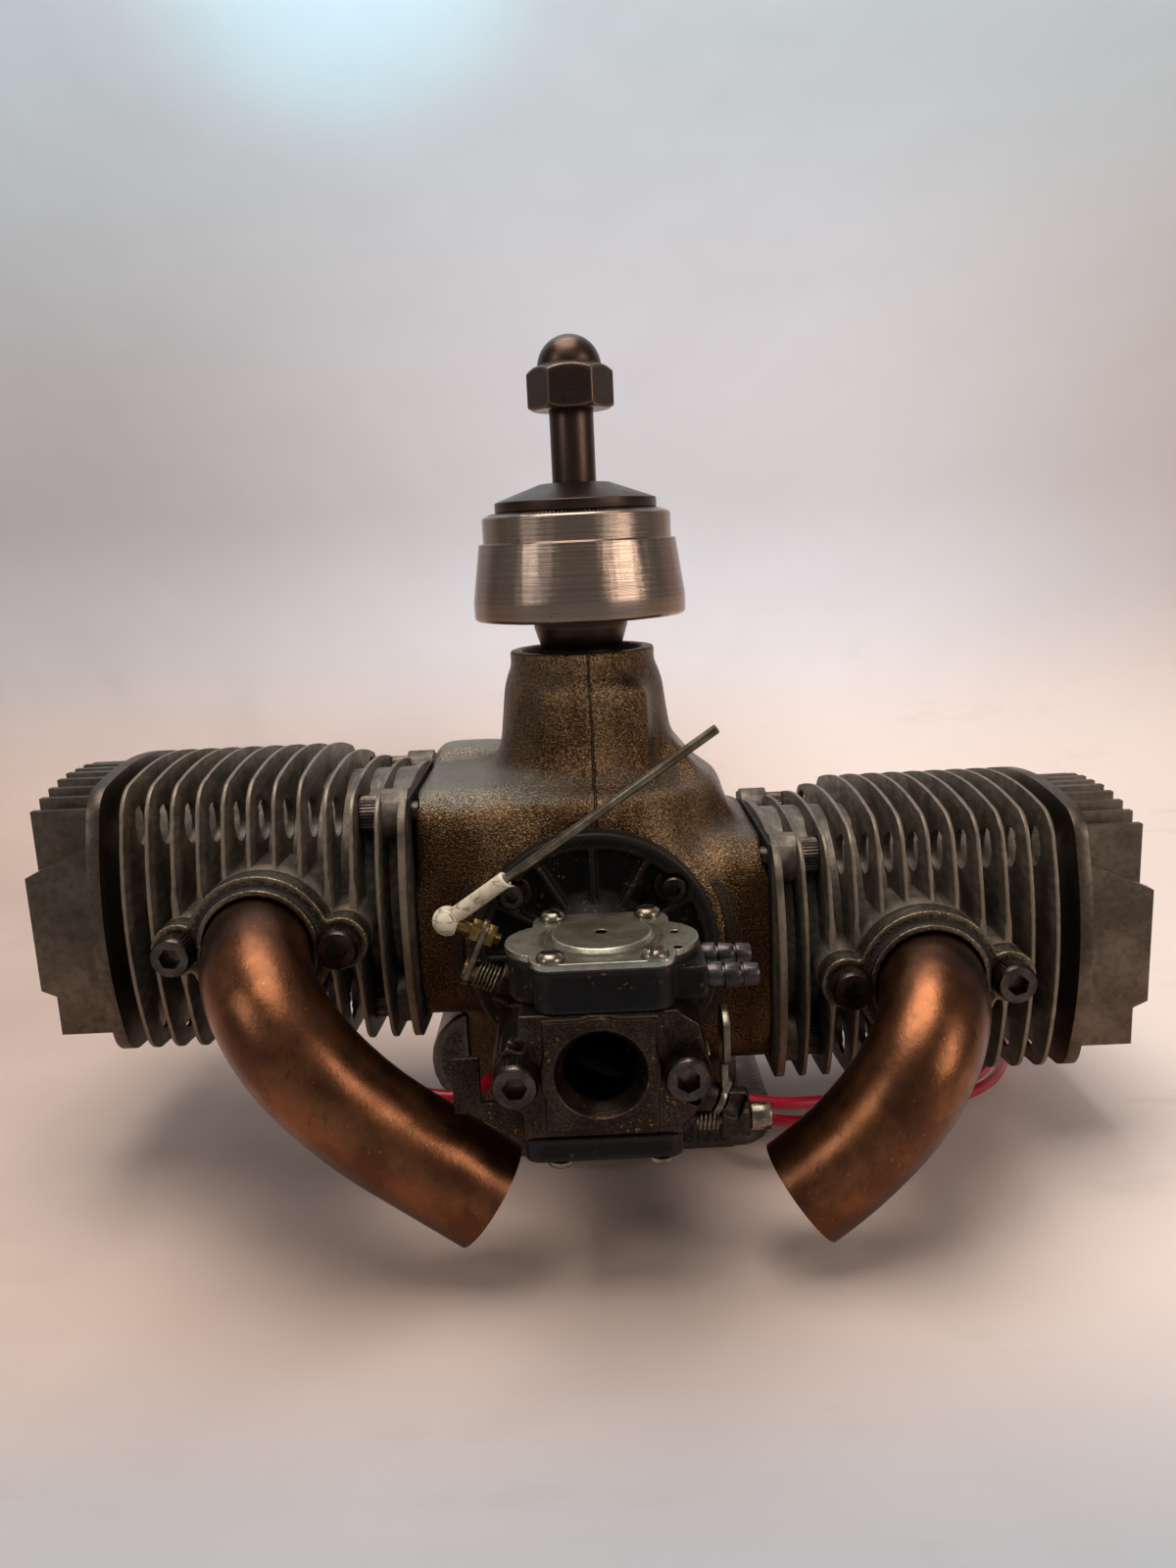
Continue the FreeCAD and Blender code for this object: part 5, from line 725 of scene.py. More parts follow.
def soften(mesh: Mesh, rounds: int, melt: Optional[Melt] = None, melt_rounds: int = 0) -> None:
    """Rounds a dense mesh's edges by a few smoothing rounds that keep its volume.

    Args:
        mesh: the dense mesh.
        rounds: how many rounds it gets all over.
        melt: gives a share of 0 to 1 for each place, for a region that is rounded more.
        melt_rounds: how many more rounds that region gets.
    """
    places, edges, counts = mesh_arrays(mesh)
    for share in (0.55, -0.5) * rounds:
        places += share * (neighbour_mean(places, edges, counts) - places)
    if melt is not None:
        region = melt(places)[:, None] * 0.5
        for _ in range(melt_rounds):
            places += region * (neighbour_mean(places, edges, counts) - places)
    set_places(mesh, places)


def mesh_arrays(mesh: Mesh) -> Tuple[np.ndarray, np.ndarray, np.ndarray]:
    """A mesh's places, edges and neighbour counts as arrays."""
    places = np.empty(len(mesh.vertices) * 3, np.float32)
    mesh.vertices.foreach_get("co", places)
    edges = np.empty(len(mesh.edges) * 2, np.int32)
    mesh.edges.foreach_get("vertices", edges)
    counts = np.maximum(np.bincount(edges, minlength=len(mesh.vertices)), 1)
    return places.reshape(-1, 3).astype(float), edges.reshape(-1, 2), counts


def set_places(mesh: Mesh, places: np.ndarray) -> None:
    """Moves a mesh's vertices to new places."""
    mesh.vertices.foreach_set("co", places.astype(np.float32).ravel())
    mesh.update()


def keep_within(mesh: Mesh, construction: Object) -> None:
    """Holds a mesh inside the box of the construction piece that it stands for."""
    limits = mesh_arrays(construction.data)[0]
    set_places(mesh, np.clip(mesh_arrays(mesh)[0], limits.min(0), limits.max(0)))


def store_relief(mesh: Mesh, reach: int, full: float) -> None:
    """Stores how far each point stands out of its smoothed surroundings.

    Args:
        mesh: a dense mesh.
        reach: smoothing rounds, which set how wide the surroundings are.
        full: the height in metres that counts as 1.
    """
    places, edges, counts = mesh_arrays(mesh)
    smooth = places.copy()
    for _ in range(reach):
        smooth = neighbour_mean(smooth, edges, counts)
    normals = np.empty(len(mesh.vertices) * 3, np.float32)
    mesh.vertices.foreach_get("normal", normals)
    height = ((places - smooth) * normals.reshape(-1, 3)).sum(1) / full
    layer = mesh.attributes.new(RELIEF, "FLOAT", "POINT")
    layer.data.foreach_set("value", np.clip(height, -1, 1).astype(np.float32))


def smooth_by_angle(mesh: Mesh, degrees: float, outward: bool = False) -> None:
    """Smooth shading with edges over an angle kept sharp, and normals turned outward if asked."""
    shape = bmesh.new()
    shape.from_mesh(mesh)
    if outward:
        bmesh.ops.recalc_face_normals(shape, faces=shape.faces)
    limit = math.radians(degrees)
    for face in shape.faces:
        face.smooth = True
    for edge in shape.edges:
        edge.smooth = not (len(edge.link_faces) == 2 and edge.calc_face_angle() > limit)
    shape.to_mesh(mesh)
    shape.free()


def seats(points: Iterable[Tuple[Vector, Vector, float]]) -> Object:
    """An object of bare points, each with the axis and turn of what is set on it."""
    places, axes, turns = zip(*points)
    mesh = bpy.data.meshes.new("seats")
    mesh.from_pydata([tuple(place) for place in places], [], [])
    axis = mesh.attributes.new("axis", "FLOAT_VECTOR", "POINT")
    axis.data.foreach_set("vector", [part for way in axes for part in way.normalized()])
    mesh.attributes.new("turn", "FLOAT", "POINT").data.foreach_set("value", turns)
    return linked("seats", mesh)


def curve_of(name: str, kind: str, points: Sequence[Vector]) -> Object:
    """A curve object through or near points in millimetres."""
    curve = bpy.data.curves.new(name, "CURVE")
    curve.dimensions = "3D"
    spline = curve.splines.new(kind)
    spline.points.add(len(points) - 1)
    for point, place in zip(spline.points, points):
        point.co = (*(Vector(place) * MM), 1.0)
    return linked(name, curve)


def lathe(name: str, profile: Profile, steps: int = 96) -> Object:
    """A closed body turned about the crank axis.

    Args:
        name: the object's name.
        profile: (radius, height) in metres, going up the outside and closed through the bore.
        steps: how many steps go round.

    Returns:
        The turned object.
    """
    shape = bmesh.new()
    angles = [2 * math.pi * index / steps for index in range(steps)]
    rows = [[shape.verts.new((radius * math.cos(angle), radius * math.sin(angle), height)) for angle in angles]
            for radius, height in profile]
    for lower, upper in zip(rows, rows[1:] + rows[:1]):
        for index in range(steps):
            after = (index + 1) % steps
            shape.faces.new((lower[index], lower[after], upper[after], upper[index]))
    bmesh.ops.recalc_face_normals(shape, faces=shape.faces)
    return object_of(name, shape)


def rounded(profile: Profile, radius: float, steps: int = 4) -> List[Pair]:
    """A closed profile with its corners rounded by small arcs."""
    points = [Vector(point) for point in profile]
    result = []
    for index, corner in enumerate(points):
        before = points[index - 1]
        after = points[(index + 1) % len(points)]
        cut = min(radius, (before - corner).length * 0.4, (after - corner).length * 0.4)
        start = corner + (before - corner).normalized() * cut
        end = corner + (after - corner).normalized() * cut
        for step in range(steps + 1):
            share = step / steps
            place = start * (1 - share) ** 2 + corner * 2 * share * (1 - share) + end * share ** 2
            result.append((place.x, place.y))
    return result


class Workshop:
    """Holds the frame and the finishes, and puts finished pieces in their places."""

    def __init__(self, frame: Dict[str, object]) -> None:
        self.frame = frame
        self.finishes = finishes()
        self.materials = {name: finish.material() for name, finish in self.finishes.items()}

    def body_of(self, node: str) -> str:
        """The body that a construction node rides on."""
        return self.frame["nodes"][node]["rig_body"]

    def dress(self, finish: str, *nodes: str) -> None:
        """Gives construction nodes a finish."""
        for node in nodes:
            shown = self.frame["nodes"][node]
            shown.data.materials.clear()
            shown.data.materials.append(self.materials[finish])
            LOG.info("dressed %s with %s", node, finish)

    def mount(self, piece: Object, finish: str, *nodes: str, body: Optional[str] = None) -> None:
        """Puts a finished piece in the place of construction nodes.

        Args:
            piece: the piece, at the origin.
            finish: the name of its finish.
            nodes: the nodes it stands for.
            body: the body it rides on, where it isn't the first node's.
        """
        piece.data.materials.clear()
        piece.data.materials.append(self.materials[finish])
        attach(piece, body or self.body_of(nodes[0]))
        if nodes:
            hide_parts(*nodes)
        LOG.info("mounted %s for %s", piece.name, ", ".join(nodes))

    def cast(self, node: str, finish: str, voxel: float, rounds: int = 3, reach: int = 12, full: float = 0.3,
             melt: Optional[Melt] = None, melt_rounds: int = 0) -> Object:
        """A node's shape as a casting, with rounded edges and corners.

        Args:
            node: the construction node.
            finish: the finish's name.
            voxel: the size of its mesh in millimetres.
            rounds: smoothing rounds.
            reach: how wide the worn edges are, in mesh steps.
            full: height in millimetres that counts as a full edge.
            melt: gives a share of 0 to 1 for each place, for a region with larger rounds.
            melt_rounds: how many more rounds that region gets.

        Returns:
            The casting.
        """
        rough = object_of("rough", node_shape(node))
        remesh = rough.modifiers.new("skin", "REMESH")
        remesh.mode = "VOXEL"
        remesh.voxel_size = voxel * MM
        made = baked(rough, node + "_casting")
        soften(made.data, rounds, melt, melt_rounds)
        keep_within(made.data, bpy.data.objects[node])
        store_relief(made.data, reach, full * MM)
        made.data.shade_smooth()
        self.mount(made, finish, node)
        return made

    def crisp(self, node: str, finish: str, bevel: float) -> Object:
        """A node's shape with smooth rounds and small bevels on its edges.

        Args:
            node: the construction node.
            finish: the finish's name.
            bevel: the bevel's width in millimetres.

        Returns:
            The machined piece.
        """
        shape = node_shape(node)
        bmesh.ops.dissolve_limit(shape, angle_limit=math.radians(FLAT_ANGLE), verts=shape.verts, edges=shape.edges)
        rough = object_of("rough", shape)
        edge = rough.modifiers.new("edge", "BEVEL")
        edge.limit_method = "ANGLE"
        edge.angle_limit = math.radians(EDGE_ANGLE)
        edge.width = bevel * MM
        edge.segments = 2
        made = baked(rough, node + "_machined")
        smooth_by_angle(made.data, SHARP_ANGLE)
        self.mount(made, finish, node)
        return made

    def crisp_all(self, *pieces: Tuple[str, str, float]) -> None:
        """Machines several nodes, each given with its finish and bevel."""
        for node, finish, bevel in pieces:
            self.crisp(node, finish, bevel)


# ---------------------------------------------------------------- trees of screws, springs, teeth and pipes
def screw_tree(drive: Drive) -> GeometryTree:
    """Tree of a screw: knurled or plain head, its drive and its shank."""
    tree = GeometryTree("screw_" + drive.value)
    radius, height, knurl = tree.sizes("Head Radius", "Head Height", "Knurl")
    round_from, dome = tree.sizes("Round From", "Dome")
    width, depth, shank, length = tree.sizes("Drive Width", "Drive Depth", "Shank Radius", "Shank Length")
    ridges = tree.size("Ridges", "NodeSocketInt")
    sizes = {"Vertices": ridges * 2, "Side Segments": 7, "Fill Segments": 1, "Radius": radius, "Depth": height}
    head = tree.node("GeometryNodeMeshCylinder", sizes)
    head = tree.moved(head, Translation=tree.xyz(0.0, 0.0, height * 0.5))
    place = tree.node("GeometryNodeInputPosition", {})
    x, y, z = (tree.node("ShaderNodeSeparateXYZ", {0: place}, axis) for axis in range(3))
    rise = ((z / height - round_from) / (1 - round_from)).clamped()
    index = tree.node("GeometryNodeInputIndex", {})
    grooved = index.math("MODULO", 2.0) * knurl * (1 - rise)
    scale = (1 - dome * rise * rise).math("SQRT") * (1 - grooved)
    moved = tree.xyz(x * scale, y * scale, z)
    head = tree.node("GeometryNodeSetPosition", {0: head, "Position": moved})
    if drive is Drive.HEXAGON:
        sizes = {"Vertices": 6, "Radius": width / math.sqrt(3), "Depth": depth * 2}
        cutter = tree.node("GeometryNodeMeshCylinder", sizes)
    else:
        cutter = tree.node("GeometryNodeMeshCube", {"Size": tree.xyz(radius * 3, width, depth * 2)})
    cutter = tree.moved(cutter, Translation=tree.xyz(0.0, 0.0, height))
    head = tree.node("GeometryNodeMeshBoolean",
                     {"Mesh 1": head, "Mesh 2": cutter}, operation="DIFFERENCE", solver="EXACT")
    stem = tree.node("GeometryNodeMeshCylinder", {"Vertices": 24, "Radius": shank, "Depth": length})
    stem = tree.moved(stem, Translation=tree.xyz(0.0, 0.0, length * -0.5))
    join = tree.group.nodes.new("GeometryNodeJoinGeometry")
    for shape in (head, stem):
        tree.group.links.new(shape.socket, join.inputs[0])
    tree.finish(tree.on_seats(Value(tree, join.outputs[0])))
    return tree


def spring_tree() -> GeometryTree:
    """Tree of a close-wound coil spring that stands on its seat."""
    tree = GeometryTree("coil_spring")
    radius, wire, turns, length = tree.sizes("Coil Radius", "Wire Radius", "Turns", "Length")
    sizes = {"Resolution": 28, "Rotations": turns, "Start Radius": radius, "End Radius": radius, "Height": length}
    coil = tree.node("GeometryNodeCurveSpiral", sizes)
    ring = tree.node("GeometryNodeCurvePrimitiveCircle", {"Resolution": 10, "Radius": wire})
    sizes = {"Curve": coil, "Profile Curve": ring, "Fill Caps": True}
    tree.finish(tree.on_seats(tree.node("GeometryNodeCurveToMesh", sizes)))
    return tree


def teeth_tree() -> GeometryTree:
    """Tree of a ring of driving teeth, one wedge on each seat."""
    tree = GeometryTree("driving_teeth")
    width, length, height = tree.sizes("Width", "Length", "Height")
    sizes = {"Vertices": 4, "Radius Top": 0.0, "Radius Bottom": 1.0, "Depth": 1.0}
    wedge = tree.moved(tree.node("GeometryNodeMeshCone", sizes), Rotation=(0.0, 0.0, math.pi / 4))
    tree.finish(tree.on_seats(tree.moved(wedge, Scale=tree.xyz(length, width, height))))
    return tree


def pipe_tree() -> GeometryTree:
    """Tree that turns a line into a tube and keeps the distance along it."""
    tree = GeometryTree("pipe_tube")
    radius, count = tree.size("Radius"), tree.size("Steps Round", "NodeSocketInt")
    run = tree.node("GeometryNodeSplineParameter", {}, "Length")
    marked = tree.node("GeometryNodeStoreNamedAttribute",
                       {0: tree.source, "Name": RUN, "Value": run}, data_type="FLOAT", domain="POINT")
    ring = tree.node("GeometryNodeCurvePrimitiveCircle", {"Resolution": count, "Radius": radius})
    tree.finish(tree.node("GeometryNodeCurveToMesh", {"Curve": marked, "Profile Curve": ring}))
    return tree


@dataclass(frozen=True)
class ScrewKind:
    """Sizes of a screw in millimetres."""

    drive: Drive
    head_r: float
    head: float
    drive_width: float
    shank_r: float
    ridges: int = 24
    knurl: float = 0.0
    round_from: float = 0.86
    dome: float = 0.2
    drive_depth: float = 2.4


class Screws:
    """Makes the engine's screws from one tree for each drive."""

    def __init__(self, shop: Workshop) -> None:
        """Builds the trees."""
        self.shop = shop
        self.trees = {drive: screw_tree(drive) for drive in Drive}

    def fit(self, node: str, finish: str, kind: ScrewKind, out: Callable[[Vector], Vector],
            turns: float) -> None:
        """Replaces a node of screws.

        Args:
            node: the construction node that groups them.
            finish: their finish.
            kind: their sizes.
            out: gives the outward axis for a screw from the middle of its box.
            turns: how far each screw's drive is turned from the one before.
        """
        points = []
        length = 0.0
        for number, (low, high) in enumerate(part_boxes(node)):
            middle = (low + high) / 2
            axis = out(middle)
            reach = Vector([abs(axis[i]) * (high[i] - low[i]) / 2 for i in range(3)]).length
            top = middle + axis * reach
            length = 2 * reach - kind.head * MM
            points.append((top - axis * kind.head * MM, axis, turns * number))
        sizes = {"Head Radius": kind.head_r * MM, "Head Height": kind.head * MM, "Round From": kind.round_from,
                 "Dome": kind.dome, "Ridges": kind.ridges, "Knurl": kind.knurl,
                 "Drive Width": kind.drive_width * MM, "Drive Depth": kind.drive_depth * MM,
                 "Shank Radius": kind.shank_r * MM, "Shank Length": max(length, 1 * MM),
                 "Material": self.shop.materials[finish]}
        piece = self.trees[kind.drive].grow(node + "_set", seats(points), sizes)
        smooth_by_angle(piece.data, SCREW_ANGLE)
        self.shop.mount(piece, finish, node)


# ---------------------------------------------------------------- sub-assemblies
@dataclass
class Leads:
    """Red silicone plug leads on their real routes, in millimetres."""

    finish: str = "red_silicone"
    radius: float = 1.4
    arm_y: float = 52.0
    plug_x: float = 113.2
    cap_arm: float = 15.3

    def routes(self) -> Dict[str, List[Triple]]:
        """The route's points of each lead."""
        left_z, right_z = (AXIS_Z[side] - self.cap_arm for side in Side)
        y, x = self.arm_y, self.plug_x
        return {
            "lead_left": [(-25, -24.5, 21), (-28, -35, 21.5), (-38, -36, 22), (-53, -30, 26), (-68, -16, 24),
                          (-86, 6, 21), (-102, 32, 20), (-x + 2, y, left_z - 18), (-x, y, left_z)],
            "lead_right": [(22, -26.8, 20), (26, -37, 20), (38, -38, 17.5), (56, -33, 15.5), (76, -28, 14),
                           (94, -15, 12), (103, 12, 11), (107, 36, 11), (x - 3, y, right_z - 18), (x, y, right_z)],
            "lead_return": [(25, -23.9, 14), (31, -33, 13.5), (42, -35.5, 11.5), (58, -30, 9.5), (78, -23, 8),
                            (97, -9, 5.5), (108, 14, 4), (114, 38, 5), (x + 4.1, y, right_z - 20),
                            (x + 3.6, y, right_z)],
        }

    def build(self, shop: Workshop) -> None:
        """Makes the three leads as smooth curves."""
        for node, route in self.routes().items():
            piece = curve_of(node + "_silicone", "NURBS", route)
            curve, spline = piece.data, piece.data.splines[0]
            curve.bevel_depth = self.radius * MM
            curve.bevel_resolution = 6
            curve.use_fill_caps = True
            spline.order_u = 3
            spline.use_endpoint_u = True
            spline.resolution_u = 12
            shop.mount(piece, self.finish, node)
            length = self.length_of(piece)
            LOG.info("laid %s, %.0f mm", node, length / MM)

    @staticmethod
    def length_of(piece: Object) -> float:
        """The length of a curve's centre line."""
        line = piece.copy()
        line.data = piece.data.copy()
        line.data.bevel_depth = 0
        places = [vertex.co for vertex in bpy.data.meshes.new_from_object(line).vertices]
        bpy.data.objects.remove(line)
        return sum((b - a).length for a, b in zip(places, places[1:]))


@dataclass
class Case:
    """Crankcase, rear cover and what shows of the crank train's inside, in millimetres."""

    voxel: float = 0.75
    neck: Pair = (66.0, 112.0)
    bore: float = 16.9
    dressed: Dict[str, str] = field(default_factory=lambda: {
        "ground_steel": "bearings inner_races rod_eyes conrods piston_rings wrist_pins crankshaft spark_plugs",
        "piston_metal": "pistons", "plug_rubber": "front_seal plug_caps", "reed_sheet": "reed_plate reed_petals",
        "gasket_sheet": "cylinder_gaskets port_gaskets"})

    def shoulders(self, places: np.ndarray) -> np.ndarray:
        """The outside of the case's shoulders and neck, where the casting's fillets are large."""
        height = places[:, 2] / MM
        radius = np.hypot(places[:, 0], places[:, 1]) / MM
        low, high = self.neck
        rise = np.clip((height - low) / 6, 0, 1) * np.clip((high - height) / 2, 0, 1)
        return rise * np.clip((radius - self.bore) / 1.5, 0, 1)

    def build(self, shop: Workshop) -> None:
        """Makes the castings and dresses the hidden parts."""
        shop.cast("crankcase", "crankcase_cast", self.voxel, 6, 14, 0.7, self.shoulders, 60)
        shop.cast("rear_cover", "cover_cast", self.voxel, rounds=4)
        for finish, nodes in self.dressed.items():
            shop.dress(finish, *nodes.split())


@dataclass
class Cylinders:
    """Finned cylinders and heads, in millimetres."""

    first_x: float = 45.5
    pitch: float = 5.375
    count: int = 11
    half: float = 0.76            # half a fin's thickness, with a little to spare
    slim: float = 0.58            # how thick a fin's rim is beside its root
    rim_from: float = 0.8         # where the rim begins, as a share of the fin's half size
    half_size: Pair = (38.0, 31.0)
    port: Triple = (69.8, 20.0, 9.0)
    port_y: float = -31.0

    def taper(self, mesh: Mesh, side: Side) -> None:
        """Thins the fins towards their rims, as cast fins are, except at the exhaust port."""
        places, _, _ = mesh_arrays(mesh)
        across, deep, rise = (places / MM - (0, 0, AXIS_Z[side])).T
        across, rise = across * side.value, np.abs(rise)
        number = np.clip(np.round((across - self.first_x) / self.pitch), 0, self.count - 1)
        middle = self.first_x + number * self.pitch
        away = across - middle
        share = np.maximum(np.abs(deep) / self.half_size[0], rise / self.half_size[1])
        port_x, port_reach, port_rise = self.port
        port = (deep < self.port_y) & (rise < port_rise) & (np.abs(across - port_x) < port_reach)
        rim = (np.abs(away) < self.half) & (share > self.rim_from) & ~port
        places[rim, 0] = (middle + away * self.slim)[rim] * side.value * MM
        set_places(mesh, places)

    def build(self, shop: Workshop) -> None:
        """Makes the painted cylinders and bare heads."""
        for side in Side:
            self.taper(shop.crisp("cylinder_" + side.word, "fin_paint", 0.45).data, side)
            shop.crisp("head_" + side.word, "head_metal", 0.3)


@dataclass
class Exhausts:
    """Cast flanges and bent copper pipes, in millimetres and degrees."""

    finish: str = "copper_tube"
    radius: float = 11.0
    inset: float = 0.02           # how far the tube stays inside that radius
    steps_round: int = 72
    wall: float = 1.0
    port_x: float = 69.8
    seat_y: float = -39.4
    lead_in: float = 3.0
    bend_r: float = 24.8
    bend_steps: int = 20
    fall: float = 50.0
    second_r: float = 88.0
    second_steps: int = 14
    last_fall: float = 36.5
    tails: Dict[Side, float] = field(default_factory=lambda: {Side.LEFT: 20.0, Side.RIGHT: 0.6})
    port_z: Dict[Side, float] = field(default_factory=lambda: {Side.LEFT: 61.5, Side.RIGHT: 47.5})

    def line(self, side: Side) -> List[Vector]:
        """Points of a pipe's centre line in millimetres."""
        fall, last = math.radians(self.fall), math.radians(self.last_fall)
        down = Vector((-math.cos(fall), 0, -math.sin(fall)))
        centre = Vector((self.port_x, self.seat_y - self.lead_in, 0.0)) + down * self.bend_r
        points = [Vector((self.port_x, self.seat_y, 0.0))]
        for step in range(self.bend_steps + 1):
            angle = math.pi / 2 * step / self.bend_steps
            points.append(centre + (Vector((0, -1, 0)) * math.sin(angle) - down * math.cos(angle)) * self.bend_r)
        out = points[-1]
        for step in range(1, self.second_steps + 1):
            angle = fall + (last - fall) * step / self.second_steps
            turned = Vector((math.sin(angle) - math.sin(fall), 0, math.cos(fall) - math.cos(angle)))
            points.append(out + turned * self.second_r)
        points.append(points[-1] + Vector((-math.cos(last), 0, -math.sin(last))) * self.tails[side])
        return [Vector((p.x * side.value, p.y, p.z + self.port_z[side])) for p in points]

    def build(self, shop: Workshop) -> None:
        """Makes flanges and pipes."""
        tree = pipe_tree()
        sizes = {"Radius": (self.radius - self.inset) * MM, "Steps Round": self.steps_round,
                 "Material": shop.materials[self.finish]}
        for side in Side:
            shop.cast("exhaust_flange_" + side.word, "flange_cast", 0.34, rounds=3, full=0.25)
            node = "exhaust_pipe_" + side.word
            tube = tree.grow("tube", curve_of("line", "POLY", self.line(side)), sizes)
            wall = tube.modifiers.new("wall", "SOLIDIFY")
            wall.thickness = self.wall * MM
            wall.offset = -1
            wall.use_even_offset = True
            piece = baked(tube, node + "_tube")
            smooth_by_angle(piece.data, PIPE_ANGLE, outward=True)
            shop.mount(piece, self.finish, node)


@dataclass
class PropDrive:
    """Collar, hub, washer, stud and domed nut, in millimetres."""

    collar: Profile = ((7.6, 114.6), (9.3, 114.6), (9.3, 116.6), (10.9, 121.6),
                       (10.9, 123.7), (7.6, 123.7))
    hub: Profile = ((7.6, 123.7), (23.9, 123.7), (24.5, 124.3), (24.5, 128.0),
                    (22.6, 141.0), (21.6, 141.0), (21.6, 146.5), (21.1, 147.0),
                    (7.6, 147.0))
    washer: Profile = ((5.3, 147.7), (18.5, 147.7), (18.5, 150.0), (8.0, 153.8),
                       (5.3, 153.8))
    hub_top: float = 147.0
    tooth_r: float = 19.6
    tooth_count: int = 150
    tooth: Triple = (1.9, 0.5, 0.62)

    @staticmethod
    def turned(shop: Workshop, name: str, profile: Profile, edge: float, finish: str, node: str) -> None:
        """Turns one piece from its profile and mounts it."""
        scaled = [(radius * MM, height * MM) for radius, height in profile]
        piece = lathe(name, rounded(scaled, edge * MM), 144)
        smooth_by_angle(piece.data, TURNED_ANGLE)
        shop.mount(piece, finish, node)

    def teeth(self, shop: Workshop) -> None:
        """Sets the fine teeth that grip the propeller in the hub's top face."""
        points = []
        for index in range(self.tooth_count):
            angle = 2 * math.pi * index / self.tooth_count
            place = Vector((self.tooth_r * math.cos(angle), self.tooth_r * math.sin(angle), self.hub_top)) * MM
            points.append((place, Vector((0, 0, 1)), angle))
        length, width, height = (size * MM for size in self.tooth)
        sizes = {"Length": length, "Width": width, "Height": height, "Material": shop.materials["hub_turned"]}
        ring = teeth_tree().grow("driving_teeth", seats(points), sizes)
        shop.mount(ring, "hub_turned", body=shop.body_of("hub"))

    def build(self, shop: Workshop) -> None:
        """Makes the drive from the collar up."""
        self.turned(shop, "thrust_collar", self.collar, 0.4, "dark_steel", "collar")
        self.turned(shop, "turned_hub", self.hub, 0.35, "hub_turned", "hub")
        self.turned(shop, "coned_washer", self.washer, 0.3, "dark_steel", "washer")
        self.teeth(shop)
        shop.crisp("prop_bolt", "dark_steel", 0.2)
        shop.cast("cap_nut", "dark_steel", 0.3, rounds=3, full=0.3)


@dataclass
class Carburettor:
    """Intake plate, and the carburettor with its covers, nipples and springs, in millimetres."""

    casts: Tuple[Tuple[str, str, float, int, float], ...] = (      # node, finish, voxel, rounds, full height
        ("intake_manifold", "black_moulding", 0.42, 2, 0.3), ("carb_body", "carb_cast", 0.36, 3, 0.25),
        ("metering_block", "black_moulding", 0.4, 2, 0.3), ("cover_plate", "zinc_cover", 0.24, 2, 0.2),
        ("pump_cover", "black_moulding", 0.4, 2, 0.3))
    shaft_tilt: float = 24.0
    shaft_place: Triple = (0.0, -54.5, 47.2)
    boss_x: float = 21.6
    idle_place: Triple = (22.5, -69.0, 31.7)
    wire_r: float = 0.38

    def build(self, shop: Workshop) -> None:
        """Makes the intake plate and the carburettor's pieces."""
        for node, finish, voxel, rounds, full in self.casts:
            shop.cast(node, finish, voxel, rounds, full=full)
        shop.crisp_all(("fuel_nipples", "nipple_metal", 0.15), ("cable_bracket", "carb_cast", 0.2),
                       ("mixture_needles", "dull_brass", 0.1))
        inward = Vector((-1, 0, 0))
        outward = Matrix.Rotation(math.radians(self.shaft_tilt), 3, "Y") @ inward
        start = Vector(self.shaft_place) + outward * self.boss_x
        tree = spring_tree()
        for name, place, axis, radius, turns, length in (
                ("throttle_spring", start, outward, 2.5, 6.0, 4.6),
                ("idle_spring", Vector(self.idle_place), inward, 1.9, 4.5, 3.8)):
            sizes = {"Coil Radius": radius * MM, "Wire Radius": self.wire_r * MM, "Turns": turns,
                     "Length": length * MM, "Material": shop.materials["lever_steel"]}
            spring = tree.grow(name, seats([((place + axis * self.wire_r) * MM, axis, 0.0)]), sizes)
            spring.data.shade_smooth()
            shop.mount(spring, "lever_steel", "carb_springs")


class Linkage:
    """Throttle and choke shafts, levers, ball joint and pushrod."""

    def build(self, shop: Workshop) -> None:
        """Makes the moving parts of the carburettor."""
        # the throttle and choke plates and the choke shaft are painted near black: painted shade of the carburettor's
        # throat
        shop.crisp_all(("throttle_shaft", "dull_brass", 0.15), ("throttle_plate", "sooted_plate", 0.1),
                       ("throttle_lever", "lever_steel", 0.12), ("stop_lever", "lever_steel", 0.12),
                       ("ball_stud", "dull_brass", 0.12))
        shop.cast("ball_socket", "aged_nylon", 0.16, rounds=2, full=0.15)
        shop.crisp_all(("pushrod", "lever_steel", 0.15), ("choke_shaft", "sooted_plate", 0.1),
                       ("choke_plate", "sooted_plate", 0.1), ("choke_lever", "lever_steel", 0.15),
                       ("idle_screw", "bright_screw", 0.15))


